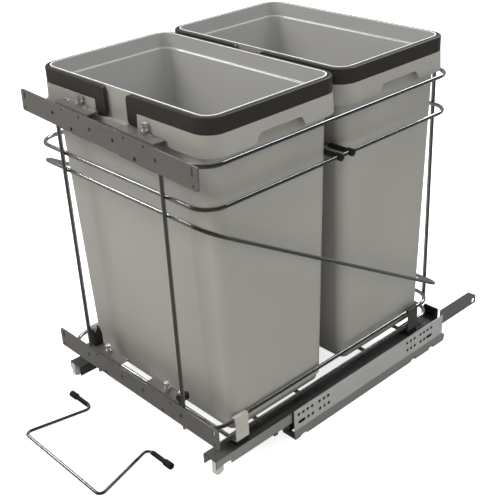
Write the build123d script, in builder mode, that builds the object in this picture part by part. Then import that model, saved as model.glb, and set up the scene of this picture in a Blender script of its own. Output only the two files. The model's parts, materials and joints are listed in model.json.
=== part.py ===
from build123d import *
import os

# A pull-out waste unit for a kitchen base cabinet: a wire frame on two undermount slides, two lift-out
# bins with bag rings, and brackets that carry the cabinet door. Millimetres, +Z up, the door faces -Y.
# Names ending in _z are heights above the cabinet floor. Names ending in _y are depths behind the
# door's inner face. The origin is the middle of the bounding box's underside.

# ---------------------------------------------------------------- fits
weld_gap = 0.05         # hairline between wires that are welded side by side
running_gap = 0.3       # between pieces that move past each other or lift off
bolt_play = 0.4         # hole diameter over bolt diameter

# ---------------------------------------------------------------- door brackets
bracket_length = 380.0
bracket_height = 31.4
bracket_thickness = 3.0
bracket_corner = 2.5
bottom_bracket_z = 79.5         # lower edge of the bottom bracket
top_bracket_z = 470.0           # lower edge of the top bracket at its middle
top_bracket_rise = 16.8         # the top bracket is set out of level: left end higher by this
large_hole_d = 6.0
small_hole_d = 3.5
end_slot_length = 13.0
end_slot_width = 4.5
end_hole_d = 5.0
post_hole_x = 112.0             # large holes in line with the posts
inner_hole_x = 25.5
main_hole_h = 16.7              # hole heights above the bracket's lower edge
low_hole_x = 69.5
low_hole_h = 4.9
small_hole_xs = (48.4, 89.0)
small_hole_h = 27.3
end_slot_x = 181.0
end_slot_h = 23.5
end_hole_x = 182.5
end_hole_h = 5.0

# ---------------------------------------------------------------- channels behind the brackets
channel_inner_x = 32.0
channel_outer_x = 106.0
bottom_channel_depth = 17.0
top_channel_depth = 18.2
channel_thickness = 2.2
channel_overlap = 3.4           # how far the channel stands past the bracket's edges
adjuster_x = 70.5
bottom_adjuster_y = 10.5
top_adjuster_y = 17.9           # behind the top hoop, which passes through the channels
adjuster_d = 5.0
adjuster_head_d = 8.5
adjuster_head_height = 4.0
adjuster_stand = 9.0            # bolt head above the channel
adjuster_tail = 4.0             # bolt end below the channel
lock_nut_flats = 8.0
lock_nut_height = 4.0

# ---------------------------------------------------------------- wire frame
wire_d = 6.0
wire_corner = 30.0
side_clearance = 4.2            # upper hoops beside the bag rings
base_clearance = 0.9            # base hoops beside the front bin's nearer side
rear_clearance = 0.6            # hoops behind the rear bag ring
hoop_top_z = 485.0
hoop_mid_z = 429.0
slanted_front_z = 403.5
slanted_rear_z = 124.0
base_z = 94.5
lower_base_z = 69.4
lower_base_front_y = 12.0
post_x = 112.0
post_foot_radius = 9.0
post_top_z = 494.0
rear_post_inset = 36.2          # rear posts inside the upper hoops' sides
rear_post_bottom_z = 80.0
rear_post_top_z = 489.0
front_cross_y = 42.5            # cross wire ahead of the front bin

# ---------------------------------------------------------------- bins
bin_width = 346.0               # over the rim
bin_depth = 216.0
bin_corner = 20.0
bin_height = 475.0
bin_wall = 2.2
bin_floor = 2.6
front_clearance = 3.2           # front bag ring behind the top channels
bin_gap = 7.5                   # between the two bag rings
front_bin_x = 4.5               # the front bin stands to the right of the middle
body_step = 3.0                 # rim stands out from the body by this all round
side_taper = 7.0                # per side, from the ledge to the foot
end_taper = 11.0
foot_step = 4.0                 # the foot stands in from the body by this all round
foot_height = 14.0
foot_radius = 6.0
rim_height = 22.0               # rim above the ledge that carries the ring
skirt_overhang = 7.3            # skirt's upper edge outside the rim
skirt_flare = 1.5               # skirt's lower edge outside its upper edge
skirt_height = 28.7
grip_width = 88.0               # finger recess in the skirt, at its lower edge
grip_slant = 4.0
grip_height = 13.5
grip_corner = 9.0
grip_offset = 3.5               # recess centre behind the bin's centre

# ---------------------------------------------------------------- bag rings
ring_overhang = 7.0             # ring outside the rim
ring_slack = 1.6                # between the ring and the rim
ring_wall = 2.4
ring_height = 21.0
ring_round = 2.0
ring_gap_half = 24.0            # half the opening at the front
tab_width = 21.0
tab_drop = 20.0
tab_thickness = 4.0
tab_round = 7.0
shoulder_round = 8.0            # top corners of the ring at its opening

# ---------------------------------------------------------------- divider rods
rod_spacing = 23.0              # either side of the middle of the gap
rod_d = 5.0
clip_sleeve_d = 8.0
clip_sleeve_length = 32.0
clip_bulb_d = 10.4
clip_bulb_length = 11.0

# ---------------------------------------------------------------- post clamps
clamp_inner_x = 98.0
clamp_depth = 15.0
clamp_height_left = 27.0        # the left clamp has a hook over its bolt
clamp_height_right = 10.0
clamp_top_width = 6.0
clamp_bolt_x = 103.4
clamp_bolt_d = 5.0
clamp_bolt_tail = 13.0          # bolt end below the channel

# ---------------------------------------------------------------- rail clips
clip_length = 24.0
clip_thickness = 1.5
front_clip_y = 57.0
rear_clip_inset = 55.0          # rear clips ahead of the frame's back
clip_fold = 5.6                 # top fold over the base hoop
clip_foot_width = 20.0
clip_screw_d = 4.0
clip_screw_head_d = 7.5
clip_screw_head_height = 2.0

# ---------------------------------------------------------------- drawer rails
rail_width = 27.5
rail_outset = 7.9               # rail's side outside the base hoops' centre line
rail_top_z = 50.8
rail_front_y = 2.5
rail_tail = 10.5                # rail's end behind the frame
rail_thickness = 1.5
rail_outer_flange = 18.0
rail_inner_flange = 17.0
rail_nose_flange = 12.5         # the outer flange is shallower at the front
rail_nose_length = 28.0
rear_hook_height = 18.5
rear_hook_thickness = 3.0
rear_hook_gusset = 13.0
lock_tab_length = 14.5
lock_tab_width = 9.0
lock_tab_drop = 14.5            # below the front of the outer flange
catch_lead = 31.5               # catch ahead of the cabinet rail
catch_length = 8.0
catch_width = 3.4
catch_drop = 6.0                # below the outer flange

# ---------------------------------------------------------------- cabinet rails
flange_gap = 5.7                # outer face of the side flange outside the drawer rail
flange_height = 56.0
crease_z = 20.5                 # below this the flange leans inwards
crease_lean = 2.5
cabinet_thickness = 1.5
cabinet_length = 361.0
cabinet_tail = 6.5              # cabinet rail's end behind the drawer rail's
web_front_setback = 3.5
web_rear_overhang = 9.5
web_inset = 3.2                 # bottom web's edge outside the drawer rail's inner side
lip_height = 7.0
system_hole_d = 5.5
system_setback = 8.8            # first hole behind the flange's front
system_pitch = 9.6
system_block = 256.0            # from the front group's first hole to the rear group's
system_group = 64.0             # from the first to the last hole of a group
upper_row_z = 46.5
lower_row_z = 32.1
system_slot_length = 15.0
scallop_radius = 9.0
edge_notch_insets = (25.5, 74.5)        # notches in the flange's lower edge, from its back
edge_notch = 6.0

# ---------------------------------------------------------------- inner track, middle rail, rollers
track_width = 8.0
track_top_z = 36.5
track_foot = 3.8
middle_width = 14.0
middle_bottom_z = 12.0           # clear of the loose bail when pulled out
middle_top_z = 44.0
middle_setback = 1.0            # middle rail's front behind the cabinet rail's
middle_length = 324.0
middle_thickness = 1.5
cage_thickness = 2.0
cage_setback = 134.5            # roller cages behind the cabinet rail's front
cage_length = 80.0
roller_count = 5
roller_length = 6.0
rivet_d = 4.0
rivet_head_d = 3.0
rivet_head_height = 1.2

# ---------------------------------------------------------------- tail straps, soft close
strap_thickness = 1.5
strap_height = 30.0
strap_bottom_z = 37.0
strap_length = 104.0
strap_lap = 5.5                 # strap's full height starts ahead of the flange's end
strap_tongue = 22.0
strap_tongue_height = 17.0
strap_chamfer_length = 23.0
strap_chamfer_height = 15.0
strap_hole_d = 8.0
strap_hole_inset = 7.2
housing_setback = 14.5          # housing behind the cabinet rail's front
housing_length = 160.0
housing_width = 7.0
housing_top_z = 24.0
housing_wall = 1.2
slider_length = 16.0
slider_height = 6.0
slider_front = 56.0             # slider behind the housing's front end, drawer closed

# ---------------------------------------------------------------- loose bail
bail_d = 4.7
bail_base_length = 200.0
bail_top_length = 144.0
bail_arm_depth = 106.0
bail_end_length = 54.3
bail_centre_x = -31.0
bail_base_y = -121.0            # in front of the door plane
bail_corner = 8.0
cap_sleeve_d = 7.4
cap_sleeve_length = 30.0
cap_bulb_d = 10.4
cap_bulb_length = 12.8          # over the wire's end
cap_end = 2.2

# ---------------------------------------------------------------- sizes that follow
wire_r = wire_d / 2
top_channel_back_y = bracket_thickness + top_channel_depth
front_bin_y = top_channel_back_y + front_clearance + ring_overhang + bin_depth / 2
rear_bin_y = front_bin_y + bin_depth + 2 * ring_overhang + bin_gap
frame_rear_y = rear_bin_y + bin_depth / 2 + ring_overhang + rear_clearance + wire_r
upper_half_width = bin_width / 2 + ring_overhang + side_clearance + wire_r
base_half_width = bin_width / 2 - body_step - side_taper + front_bin_x + base_clearance + wire_r
rear_post_x = upper_half_width - rear_post_inset
rear_clip_y = frame_rear_y - rear_clip_inset
rail_outer_x = base_half_width + rail_outset
rail_inner_x = rail_outer_x - rail_width
rail_rear_y = frame_rear_y + rail_tail
rail_length = rail_rear_y - rail_front_y
flange_x = rail_outer_x + flange_gap
web_inner_x = rail_inner_x + web_inset
cabinet_rear_y = rail_rear_y + cabinet_tail
cabinet_front_y = cabinet_rear_y - cabinet_length
strap_front_y = cabinet_rear_y - strap_lap
strap_rear_y = strap_front_y + strap_length
bail_front_y = bail_base_y - bail_d / 2
door_y = -(bail_front_y + strap_rear_y) / 2
post_y = bracket_thickness + weld_gap + wire_r
hoop_front_y = post_y + wire_d + weld_gap
rear_post_y = frame_rear_y + wire_d + weld_gap
cross_z = lower_base_z - wire_d - weld_gap
bin_bottom_z = cross_z + wire_r + running_gap
rim_top_z = bin_bottom_z + bin_height
ledge_top_z = rim_top_z - rim_height
skirt_bottom_z = ledge_top_z - skirt_height
channel_bottom_h = -channel_overlap
channel_top_h = bracket_height + channel_overlap
channel_back_y = bracket_thickness + bottom_channel_depth


def at(depth):
    """Y coordinate of a depth behind the door plane."""
    return door_y + depth


def save(piece, name):
    """Label a finished piece and write it to its own file."""
    piece.label = name
    export_step(piece, f"parts/{name}.step")


def save_pair(piece, name):
    """Write the right-hand piece and its mirror image on the left."""
    save(piece, f"{name}_right")
    save(piece.mirror(Plane.YZ), f"{name}_left")


# ================================================================ wire frame
def half_loop(half_width, rear, front, corner, tail=()):
    """Wire bent in one half of the frame and mirrored across the middle.

    rear and front are (depth, height) pairs; tail holds further (x, depth, height) points."""
    points = [(0, at(rear[0]), rear[1]), (half_width, at(rear[0]), rear[1])]
    points += [(half_width, at(front[0]), front[1])]
    points += [(x, at(depth), height) for x, depth, height in tail]
    with BuildPart() as loop:
        with BuildLine() as run:
            FilletPolyline(*points, radius=corner)
        with BuildSketch(Plane(origin=run.line @ 0, z_dir=run.line % 0)):
            Circle(wire_r)
        sweep(path=run.line)
        mirror(about=Plane.YZ)
    return loop.part


def level_hoop(z):
    """Closed upper hoop at one height."""
    front = (hoop_front_y, z)
    return half_loop(upper_half_width, (frame_rear_y, z), front, wire_corner, [(0, *front)])


save(level_hoop(hoop_top_z), "top_hoop")
save(level_hoop(hoop_mid_z), "middle_hoop")

slanted_front = (hoop_front_y, slanted_front_z)
slanted_hoop = half_loop(upper_half_width, (frame_rear_y, slanted_rear_z), slanted_front,
                         wire_corner, [(0, *slanted_front)])
save(slanted_hoop, "slanted_hoop")

# The base hoop turns up into the two front posts, so it is open between them.
base_radii = [wire_corner, wire_corner, post_foot_radius]
base_tail = [(post_x, post_y, base_z), (post_x, post_y, post_top_z)]
base_hoop = half_loop(base_half_width, (frame_rear_y, base_z), (post_y, base_z), base_radii, base_tail)
save(base_hoop, "base_hoop_and_posts")

lower_base_hoop = half_loop(base_half_width, (frame_rear_y, lower_base_z),
                            (lower_base_front_y, lower_base_z), [wire_corner])
save(lower_base_hoop, "lower_base_hoop")

with BuildPart() as rear_post:
    with BuildSketch(Plane.XY.offset(rear_post_bottom_z)):
        with Locations((rear_post_x, at(rear_post_y))):
            Circle(wire_r)
    extrude(amount=rear_post_top_z - rear_post_bottom_z)
save_pair(rear_post.part, "rear_post")

bearing = bin_depth / 5
cross_depths = [front_cross_y]
cross_depths += [centre + side * bearing for centre in (front_bin_y, rear_bin_y) for side in (-1, 1)]
with BuildPart() as cross_wires:
    with BuildSketch(Plane.YZ):
        with Locations(*[(at(depth), cross_z) for depth in cross_depths]):
            Circle(wire_r)
    extrude(amount=base_half_width, both=True)
save(cross_wires.part, "cross_wires")

# ================================================================ divider rods and their clips
gap_y = (front_bin_y + rear_bin_y) / 2
front_rod_y = gap_y - rod_spacing / 2
rear_rod_y = gap_y + rod_spacing / 2
rod_half = upper_half_width - wire_r - 2 * weld_gap
for rod_depth, rod_name in ((front_rod_y, "front"), (rear_rod_y, "rear")):
    with BuildPart() as divider_rod:
        with BuildSketch(Plane.YZ):
            with Locations((at(rod_depth), hoop_mid_z)):
                Circle(rod_d / 2)
        extrude(amount=rod_half, both=True)
    save(divider_rod.part, f"divider_rod_{rod_name}")

bulb_inner_x = upper_half_width - clip_bulb_length / 2
rod_places = [(at(depth), hoop_mid_z) for depth in (front_rod_y, rear_rod_y)]
with BuildPart() as divider_clips:
    with BuildSketch(Plane.YZ.offset(bulb_inner_x - clip_sleeve_length)):
        with Locations(*rod_places):
            Circle(clip_sleeve_d / 2)
    extrude(amount=clip_sleeve_length)
    with BuildSketch(Plane.YZ.offset(bulb_inner_x)):
        with Locations(*rod_places):
            Circle(clip_bulb_d / 2)
    extrude(amount=clip_bulb_length)
    with BuildSketch(Plane.YZ.offset(bulb_inner_x - clip_sleeve_length)):
        with Locations(*rod_places):
            Circle(rod_d / 2 + weld_gap)
    extrude(amount=clip_sleeve_length + rod_half - bulb_inner_x + weld_gap, mode=Mode.SUBTRACT)
    with BuildSketch(Plane.XZ.offset(-at(rear_rod_y + clip_bulb_d))):
        with Locations((upper_half_width, hoop_mid_z)):
            Circle(wire_r + weld_gap)
    extrude(amount=rear_rod_y - front_rod_y + 2 * clip_bulb_d, mode=Mode.SUBTRACT)
    mirror(about=Plane.YZ)
save(divider_clips.part, "divider_clips")


# ================================================================ door brackets and channels
def bracket_plane(z, rise):
    """Front face of a bracket whose left end stands higher by rise: X along it, Y up it, Z at the door."""
    middle = (0, door_y, z + bracket_height / 2)
    return Plane(origin=middle, x_dir=(bracket_length, 0, -rise), z_dir=(0, -1, 0))


def door_bracket(face):
    """Flat bar with door screw holes, rivet holes, end slots and end holes."""
    middle = bracket_height / 2
    with BuildPart() as bar:
        with BuildSketch(face):
            RectangleRounded(bracket_length, bracket_height, bracket_corner)
            for side in (-1, 1):
                with Locations((side * post_hole_x, main_hole_h - middle),
                               (side * inner_hole_x, main_hole_h - middle),
                               (side * low_hole_x, low_hole_h - middle)):
                    Circle(large_hole_d / 2, mode=Mode.SUBTRACT)
                with Locations(*[(side * x, small_hole_h - middle) for x in small_hole_xs]):
                    Circle(small_hole_d / 2, mode=Mode.SUBTRACT)
                with Locations((side * end_slot_x, end_slot_h - middle)):
                    SlotOverall(end_slot_length, end_slot_width, rotation=90, mode=Mode.SUBTRACT)
                with Locations((side * end_hole_x, end_hole_h - middle)):
                    Circle(end_hole_d / 2, mode=Mode.SUBTRACT)
        extrude(amount=-bracket_thickness)
    return bar.part


def bracket_channel(face, side, depth, bolts):
    """C section behind a bracket, open at the back, with bolt holes through both flanges.

    bolts holds (x, depth behind the door plane) pairs."""
    back = -bracket_thickness
    half_height = bracket_height / 2 + channel_overlap
    length = channel_outer_x - channel_inner_x
    centre = side * (channel_inner_x + channel_outer_x) / 2
    bolt_plane = Plane(origin=face.origin, x_dir=face.x_dir, z_dir=face.y_dir)
    with BuildPart() as channel:
        with BuildSketch(face.offset(back)):
            with Locations((centre, 0)):
                Rectangle(length, 2 * half_height)
        extrude(amount=-depth)
        with BuildSketch(face.offset(back - channel_thickness)):
            with Locations((centre, 0)):
                Rectangle(length + 2 * weld_gap, 2 * (half_height - channel_thickness))
        extrude(amount=-depth, mode=Mode.SUBTRACT)
        with BuildSketch(face):
            with Locations((side * low_hole_x, low_hole_h - bracket_height / 2)):
                Circle(large_hole_d / 2)
        extrude(amount=-depth, mode=Mode.SUBTRACT)
        with BuildSketch(bolt_plane):
            with Locations(*bolts):
                Circle((adjuster_d + bolt_play) / 2)
        extrude(amount=2 * half_height, both=True, mode=Mode.SUBTRACT)
    return channel.part


bottom_face = bracket_plane(bottom_bracket_z, 0)
top_face = bracket_plane(top_bracket_z, top_bracket_rise)
save(door_bracket(bottom_face), "bottom_door_bracket")
save(door_bracket(top_face), "top_door_bracket")
for side, side_name in ((-1, "left"), (1, "right")):
    bottom_bolts = [(side * adjuster_x, bottom_adjuster_y), (side * clamp_bolt_x, bottom_adjuster_y)]
    top_bolts = [(side * adjuster_x, top_adjuster_y)]
    bottom_channel = bracket_channel(bottom_face, side, bottom_channel_depth, bottom_bolts)
    top_channel = bracket_channel(top_face, side, top_channel_depth, top_bolts)
    save(bottom_channel, f"bottom_channel_{side_name}")
    save(top_channel, f"top_channel_{side_name}")


def upright_plane(face, height):
    """Level plane on a bracket at a height above its lower edge: X along the bracket, Y into depth."""
    origin = face.origin + face.y_dir * (height - bracket_height / 2)
    return Plane(origin=origin, x_dir=face.x_dir, z_dir=face.y_dir)


bolt_sets = ((bottom_face, bottom_adjuster_y), (top_face, top_adjuster_y))
with BuildPart() as adjusting_bolts:
    for face, bolt_y in bolt_sets:
        with BuildSketch(upright_plane(face, channel_bottom_h - adjuster_tail)):
            with Locations((-adjuster_x, bolt_y), (adjuster_x, bolt_y)):
                Circle(adjuster_d / 2)
        extrude(amount=channel_top_h - channel_bottom_h + adjuster_tail + adjuster_stand)
        with BuildSketch(upright_plane(face, channel_top_h + adjuster_stand)):
            with Locations((-adjuster_x, bolt_y), (adjuster_x, bolt_y)):
                RegularPolygon(adjuster_head_d / 2, 6)
        extrude(amount=adjuster_head_height)
save(adjusting_bolts.part, "adjusting_bolts")

with BuildPart() as lock_nuts:
    for face, bolt_y in bolt_sets:
        with BuildSketch(upright_plane(face, channel_top_h)):
            with Locations((-adjuster_x, bolt_y), (adjuster_x, bolt_y)):
                RegularPolygon(lock_nut_flats / 2, 6, major_radius=False)
                Circle(adjuster_d / 2 + weld_gap, mode=Mode.SUBTRACT)
        extrude(amount=lock_nut_height)
save(lock_nuts.part, "lock_nuts")

# ================================================================ post clamps
clamp_bottom_z = bottom_bracket_z + channel_top_h
clamp_outer_x = post_x - wire_r - weld_gap
clamp_back = Plane.XZ.offset(-at(channel_back_y))
clamp_bolt_bottom = bottom_bracket_z + channel_bottom_h - clamp_bolt_tail
clamp_sides = ((-1, clamp_height_left, "left"), (1, clamp_height_right, "right"))
for side, clamp_height, side_name in clamp_sides:
    clamp_outline = [(clamp_inner_x, 0), (clamp_outer_x, 0), (clamp_outer_x, clamp_height),
                     (clamp_outer_x - clamp_top_width, clamp_height),
                     (clamp_inner_x, clamp_height * 2 / 3)]
    with BuildPart() as post_clamp:
        with BuildSketch(clamp_back):
            Polygon(*[(side * x, clamp_bottom_z + h) for x, h in clamp_outline], align=None)
        extrude(amount=clamp_depth)
        with BuildSketch(Plane.XY.offset(clamp_bottom_z)):
            with Locations((side * clamp_bolt_x, at(bottom_adjuster_y))):
                Circle((clamp_bolt_d + bolt_play) / 2)
        extrude(amount=clamp_height, mode=Mode.SUBTRACT)
    save(post_clamp.part, f"post_clamp_{side_name}")

with BuildPart() as clamp_bolts:
    for side, clamp_height, side_name in clamp_sides:
        clamp_bolt_top = clamp_bottom_z + clamp_height
        with BuildSketch(Plane.XY.offset(clamp_bolt_bottom)):
            with Locations((side * clamp_bolt_x, at(bottom_adjuster_y))):
                Circle(clamp_bolt_d / 2)
        extrude(amount=clamp_bolt_top - clamp_bolt_bottom)
        with BuildSketch(Plane.XY.offset(clamp_bolt_top)):
            with Locations((side * clamp_bolt_x, at(bottom_adjuster_y))):
                RegularPolygon(adjuster_head_d / 2, 6)
        extrude(amount=adjuster_head_height)
save(clamp_bolts.part, "clamp_bolts")

# ================================================================ rail clips
clip_face_x = base_half_width + wire_r + weld_gap
clip_top_z = base_z + wire_r + weld_gap + clip_thickness
clip_floor_z = cross_z - wire_r - weld_gap - clip_thickness
clip_outer_x = clip_face_x + clip_thickness
clip_foot_x = clip_outer_x - clip_foot_width
clip_screw_x = (clip_foot_x + clip_face_x) / 2
fold_x = clip_face_x - clip_fold
fold_z = clip_top_z - clip_thickness
clip_seat_z = clip_floor_z + clip_thickness
clip_outline = [(clip_outer_x, clip_floor_z), (clip_outer_x, clip_top_z), (fold_x, clip_top_z),
                (fold_x, fold_z), (clip_face_x, fold_z), (clip_face_x, clip_seat_z),
                (clip_foot_x, clip_seat_z), (clip_foot_x, clip_floor_z)]
for clip_depth, clip_name in ((front_clip_y, "front_clip"), (rear_clip_y, "rear_clip")):
    with BuildPart() as rail_clip:
        with BuildSketch(Plane.XZ.offset(-at(clip_depth))):
            Polygon(*clip_outline, align=None)
        extrude(amount=clip_length / 2, both=True)
        with BuildSketch(Plane.XY.offset(clip_floor_z)):
            with Locations((clip_screw_x, at(clip_depth))):
                Circle((clip_screw_d + bolt_play) / 2)
        extrude(amount=clip_thickness, mode=Mode.SUBTRACT)
    save_pair(rail_clip.part, clip_name)

clip_places = [(side * clip_screw_x, at(depth)) for side in (-1, 1) for depth in (front_clip_y, rear_clip_y)]
foot_places = [(side * (clip_foot_x + clip_outer_x) / 2, at(depth))
               for side in (-1, 1) for depth in (front_clip_y, rear_clip_y)]
with BuildPart() as clip_feet:
    with BuildSketch(Plane.XY.offset(rail_top_z)):
        with Locations(*foot_places):
            RectangleRounded(clip_foot_width, clip_length, 2)
        with Locations(*clip_places):
            Circle((clip_screw_d + bolt_play) / 2, mode=Mode.SUBTRACT)
    extrude(amount=clip_floor_z - rail_top_z)
save(clip_feet.part, "clip_feet")

with BuildPart() as clip_screws:
    with BuildSketch(Plane.XY.offset(rail_top_z - rail_thickness)):
        with Locations(*clip_places):
            Circle(clip_screw_d / 2)
    extrude(amount=clip_seat_z - rail_top_z + rail_thickness)
    with BuildSketch(Plane.XY.offset(clip_seat_z)):
        with Locations(*clip_places):
            Circle(clip_screw_head_d / 2)
    extrude(amount=clip_screw_head_height)
save(clip_screws.part, "clip_screws")

# ================================================================ drawer rails
outer_flange_z = rail_top_z - rail_outer_flange
nose_flange_z = rail_top_z - rail_nose_flange
with BuildPart() as drawer_rail:
    with BuildSketch(Plane.XZ.offset(-at(rail_rear_y))):
        Polygon((rail_inner_x, rail_top_z - rail_inner_flange), (rail_inner_x, rail_top_z),
                (rail_outer_x, rail_top_z), (rail_outer_x, outer_flange_z),
                (rail_outer_x - rail_thickness, outer_flange_z),
                (rail_outer_x - rail_thickness, rail_top_z - rail_thickness),
                (rail_inner_x + rail_thickness, rail_top_z - rail_thickness),
                (rail_inner_x + rail_thickness, rail_top_z - rail_inner_flange), align=None)
    extrude(amount=rail_length)
    with BuildSketch(Plane.YZ.offset(rail_outer_x)):
        with BuildLine():
            Polyline((at(rail_front_y), nose_flange_z - rail_thickness),
                     (at(rail_front_y), outer_flange_z - rail_thickness),
                     (at(rail_front_y + rail_nose_length), outer_flange_z - rail_thickness),
                     (at(rail_front_y + rail_nose_length), nose_flange_z))
            ThreePointArc((at(rail_front_y + rail_nose_length), nose_flange_z),
                          (at(rail_front_y + rail_nose_length / 2), nose_flange_z + rail_thickness / 2),
                          (at(rail_front_y), nose_flange_z - rail_thickness))
        make_face()
    extrude(amount=-rail_thickness, mode=Mode.SUBTRACT)
    with BuildSketch(Plane.XY.offset(rail_top_z - rail_thickness)):
        with Locations(*[(clip_screw_x, at(depth)) for depth in (front_clip_y, rear_clip_y)]):
            Circle((clip_screw_d + bolt_play) / 2)
    extrude(amount=rail_thickness, mode=Mode.SUBTRACT)
save_pair(drawer_rail.part, "drawer_rail")

hook_outline = [(at(rail_rear_y), rail_top_z), (at(rail_rear_y), rail_top_z + rear_hook_height),
                (at(rail_rear_y - rear_hook_thickness), rail_top_z + rear_hook_height),
                (at(rail_rear_y - rear_hook_gusset), rail_top_z)]
with BuildPart() as rear_hook:
    with BuildSketch(Plane.YZ.offset(rail_inner_x)):
        Polygon(*hook_outline, align=None)
    extrude(amount=rail_width)
    with BuildSketch(Plane.XY.offset(rail_top_z + rail_thickness)):
        with Locations((rail_inner_x + rail_width / 2, at(rail_rear_y - rear_hook_thickness))):
            Rectangle(rail_width - 2 * rear_hook_thickness, rear_hook_gusset, align=(Align.CENTER, Align.MAX))
    extrude(amount=rear_hook_height, mode=Mode.SUBTRACT)
save_pair(rear_hook.part, "rear_hook")

tab_top_z = rail_top_z - rail_thickness
lock_bottom_z = nose_flange_z - lock_tab_drop
with BuildPart() as lock_tab:
    with BuildSketch(Plane.YZ.offset(rail_outer_x - rail_thickness - lock_tab_width)):
        Polygon((at(rail_front_y), tab_top_z), (at(rail_front_y + lock_tab_length), tab_top_z),
                (at(rail_front_y + lock_tab_length), lock_bottom_z + lock_tab_width / 2),
                (at(rail_front_y + lock_tab_length / 2), lock_bottom_z),
                (at(rail_front_y), lock_bottom_z + lock_tab_width / 3), align=None)
    extrude(amount=lock_tab_width)
save_pair(lock_tab.part, "lock_tab")

catch_outer_x = rail_outer_x - rail_thickness
with BuildPart() as catch:
    with BuildSketch(Plane.YZ.offset(catch_outer_x - catch_width)):
        with Locations((at(cabinet_front_y - catch_lead), outer_flange_z - catch_drop)):
            RectangleRounded(catch_length, catch_drop + rail_inner_flange / 2, 1.2,
                             align=(Align.CENTER, Align.MIN))
    extrude(amount=catch_width)
save_pair(catch.part, "catch")

# ================================================================ cabinet rails
web_front_y = cabinet_front_y + web_front_setback
web_rear_y = cabinet_rear_y + web_rear_overhang
lean_x = flange_x - crease_lean
system_hole_y = cabinet_front_y + system_setback
lower_row_shift = 1.3
front_block = [0, 1, 2, 3]
rear_block = [0, 1, 2]
block_start = system_group - 2 * system_pitch
upper_front = [k * system_pitch for k in front_block] + [block_start + k * system_pitch for k in rear_block]
upper_rear = [system_block + system_group - offset for offset in upper_front]
slot_offset = system_slot_length / 2 - system_hole_d / 2 + lower_row_shift
lower_front = [offset + lower_row_shift for offset in upper_front[2:]]
lower_rear = [offset + lower_row_shift for offset in upper_rear[2:]]
slot_depths = (system_hole_y + slot_offset, system_hole_y + system_block + system_group - slot_offset
               + lower_row_shift)
upper_holes = [(at(system_hole_y + offset), upper_row_z) for offset in upper_front + upper_rear]
lower_holes = [(at(system_hole_y + offset), lower_row_z) for offset in lower_front + lower_rear]
with BuildPart() as cabinet_rail:
    with BuildSketch(Plane.XZ.offset(-at(web_rear_y))):
        Polygon((flange_x, flange_height), (flange_x, crease_z), (lean_x, 0), (web_inner_x, 0),
                (web_inner_x, lip_height), (web_inner_x + cabinet_thickness, lip_height),
                (web_inner_x + cabinet_thickness, cabinet_thickness),
                (lean_x - cabinet_thickness, cabinet_thickness),
                (flange_x - cabinet_thickness, crease_z), (flange_x - cabinet_thickness, flange_height),
                align=None)
    extrude(amount=web_rear_y - cabinet_front_y)
    # the flange's front and rear edges, cut back above and below the crease
    with BuildSketch(Plane.YZ):
        Polygon((at(cabinet_rear_y), flange_height), (at(web_rear_y), flange_height),
                (at(web_rear_y), crease_z - lip_height), (at(cabinet_rear_y), crease_z), align=None)
        Polygon((at(cabinet_front_y), 0), (at(web_front_y), 0), (at(cabinet_front_y), crease_z), align=None)
        with Locations((at(web_front_y + 2 * scallop_radius), -scallop_radius / 2)):
            Circle(scallop_radius)
    extrude(amount=flange_x + cabinet_thickness, mode=Mode.SUBTRACT)
    with BuildSketch(Plane.YZ.offset(lean_x - 2 * cabinet_thickness)):
        with Locations(*[(at(cabinet_rear_y - inset), 0) for inset in edge_notch_insets]):
            Rectangle(2 * edge_notch, edge_notch, align=(Align.CENTER, Align.MIN))
    extrude(amount=flange_x - lean_x + 2 * cabinet_thickness, mode=Mode.SUBTRACT)
    with BuildSketch(Plane.YZ.offset(flange_x)):
        with Locations(*upper_holes, *lower_holes):
            Circle(system_hole_d / 2)
        with Locations(*[(at(depth), lower_row_z) for depth in slot_depths]):
            SlotOverall(system_slot_length, system_hole_d)
    extrude(amount=-cabinet_thickness, mode=Mode.SUBTRACT)
save_pair(cabinet_rail.part, "cabinet_rail")

# ================================================================ inner tracks and rivets
track_x = (rail_inner_x + rail_outer_x) / 2
track_half = track_width / 2
track_length = web_rear_y - web_front_y - 2 * scallop_radius
foot_z = cabinet_thickness
with BuildPart() as inner_track:
    with BuildSketch(Plane.XZ.offset(-at(web_rear_y))):
        with Locations((track_x, foot_z)):
            Rectangle(track_width + 2 * track_foot, cabinet_thickness, align=(Align.CENTER, Align.MIN))
            Rectangle(track_width, track_top_z - foot_z, align=(Align.CENTER, Align.MIN))
            Rectangle(track_width - 2 * cabinet_thickness, track_top_z - foot_z - cabinet_thickness,
                      align=(Align.CENTER, Align.MIN), mode=Mode.SUBTRACT)
    extrude(amount=track_length)
save_pair(inner_track.part, "inner_track")

rivet_x = track_half + track_foot / 2
rivet_depths = (web_rear_y - track_length + 2 * system_pitch, web_rear_y - 2 * system_pitch)
rivet_places = [(side * track_x + edge * rivet_x, at(depth))
                for side in (-1, 1) for edge in (-1, 1) for depth in rivet_depths]
with BuildPart() as track_rivets:
    with BuildSketch(Plane.XY.offset(foot_z + cabinet_thickness)):
        with Locations(*rivet_places):
            Circle(rivet_head_d / 2)
    extrude(amount=rivet_head_height)
save(track_rivets.part, "track_rivets")

# ================================================================ middle rails
middle_front_y = cabinet_front_y + middle_setback
with BuildPart() as middle_rail:
    with BuildSketch(Plane.XZ.offset(-at(middle_front_y + middle_length))):
        with Locations((track_x, middle_top_z)):
            Rectangle(middle_width, middle_top_z - middle_bottom_z,
                      align=(Align.CENTER, Align.MAX))
        with Locations((track_x, middle_top_z - middle_thickness)):
            Rectangle(middle_width - 2 * middle_thickness,
                      middle_top_z - middle_bottom_z - middle_thickness,
                      align=(Align.CENTER, Align.MAX), mode=Mode.SUBTRACT)
    extrude(amount=middle_length)
save_pair(middle_rail.part, "middle_rail")


# ================================================================ roller cages
cage_front_y = cabinet_front_y + cage_setback


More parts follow.
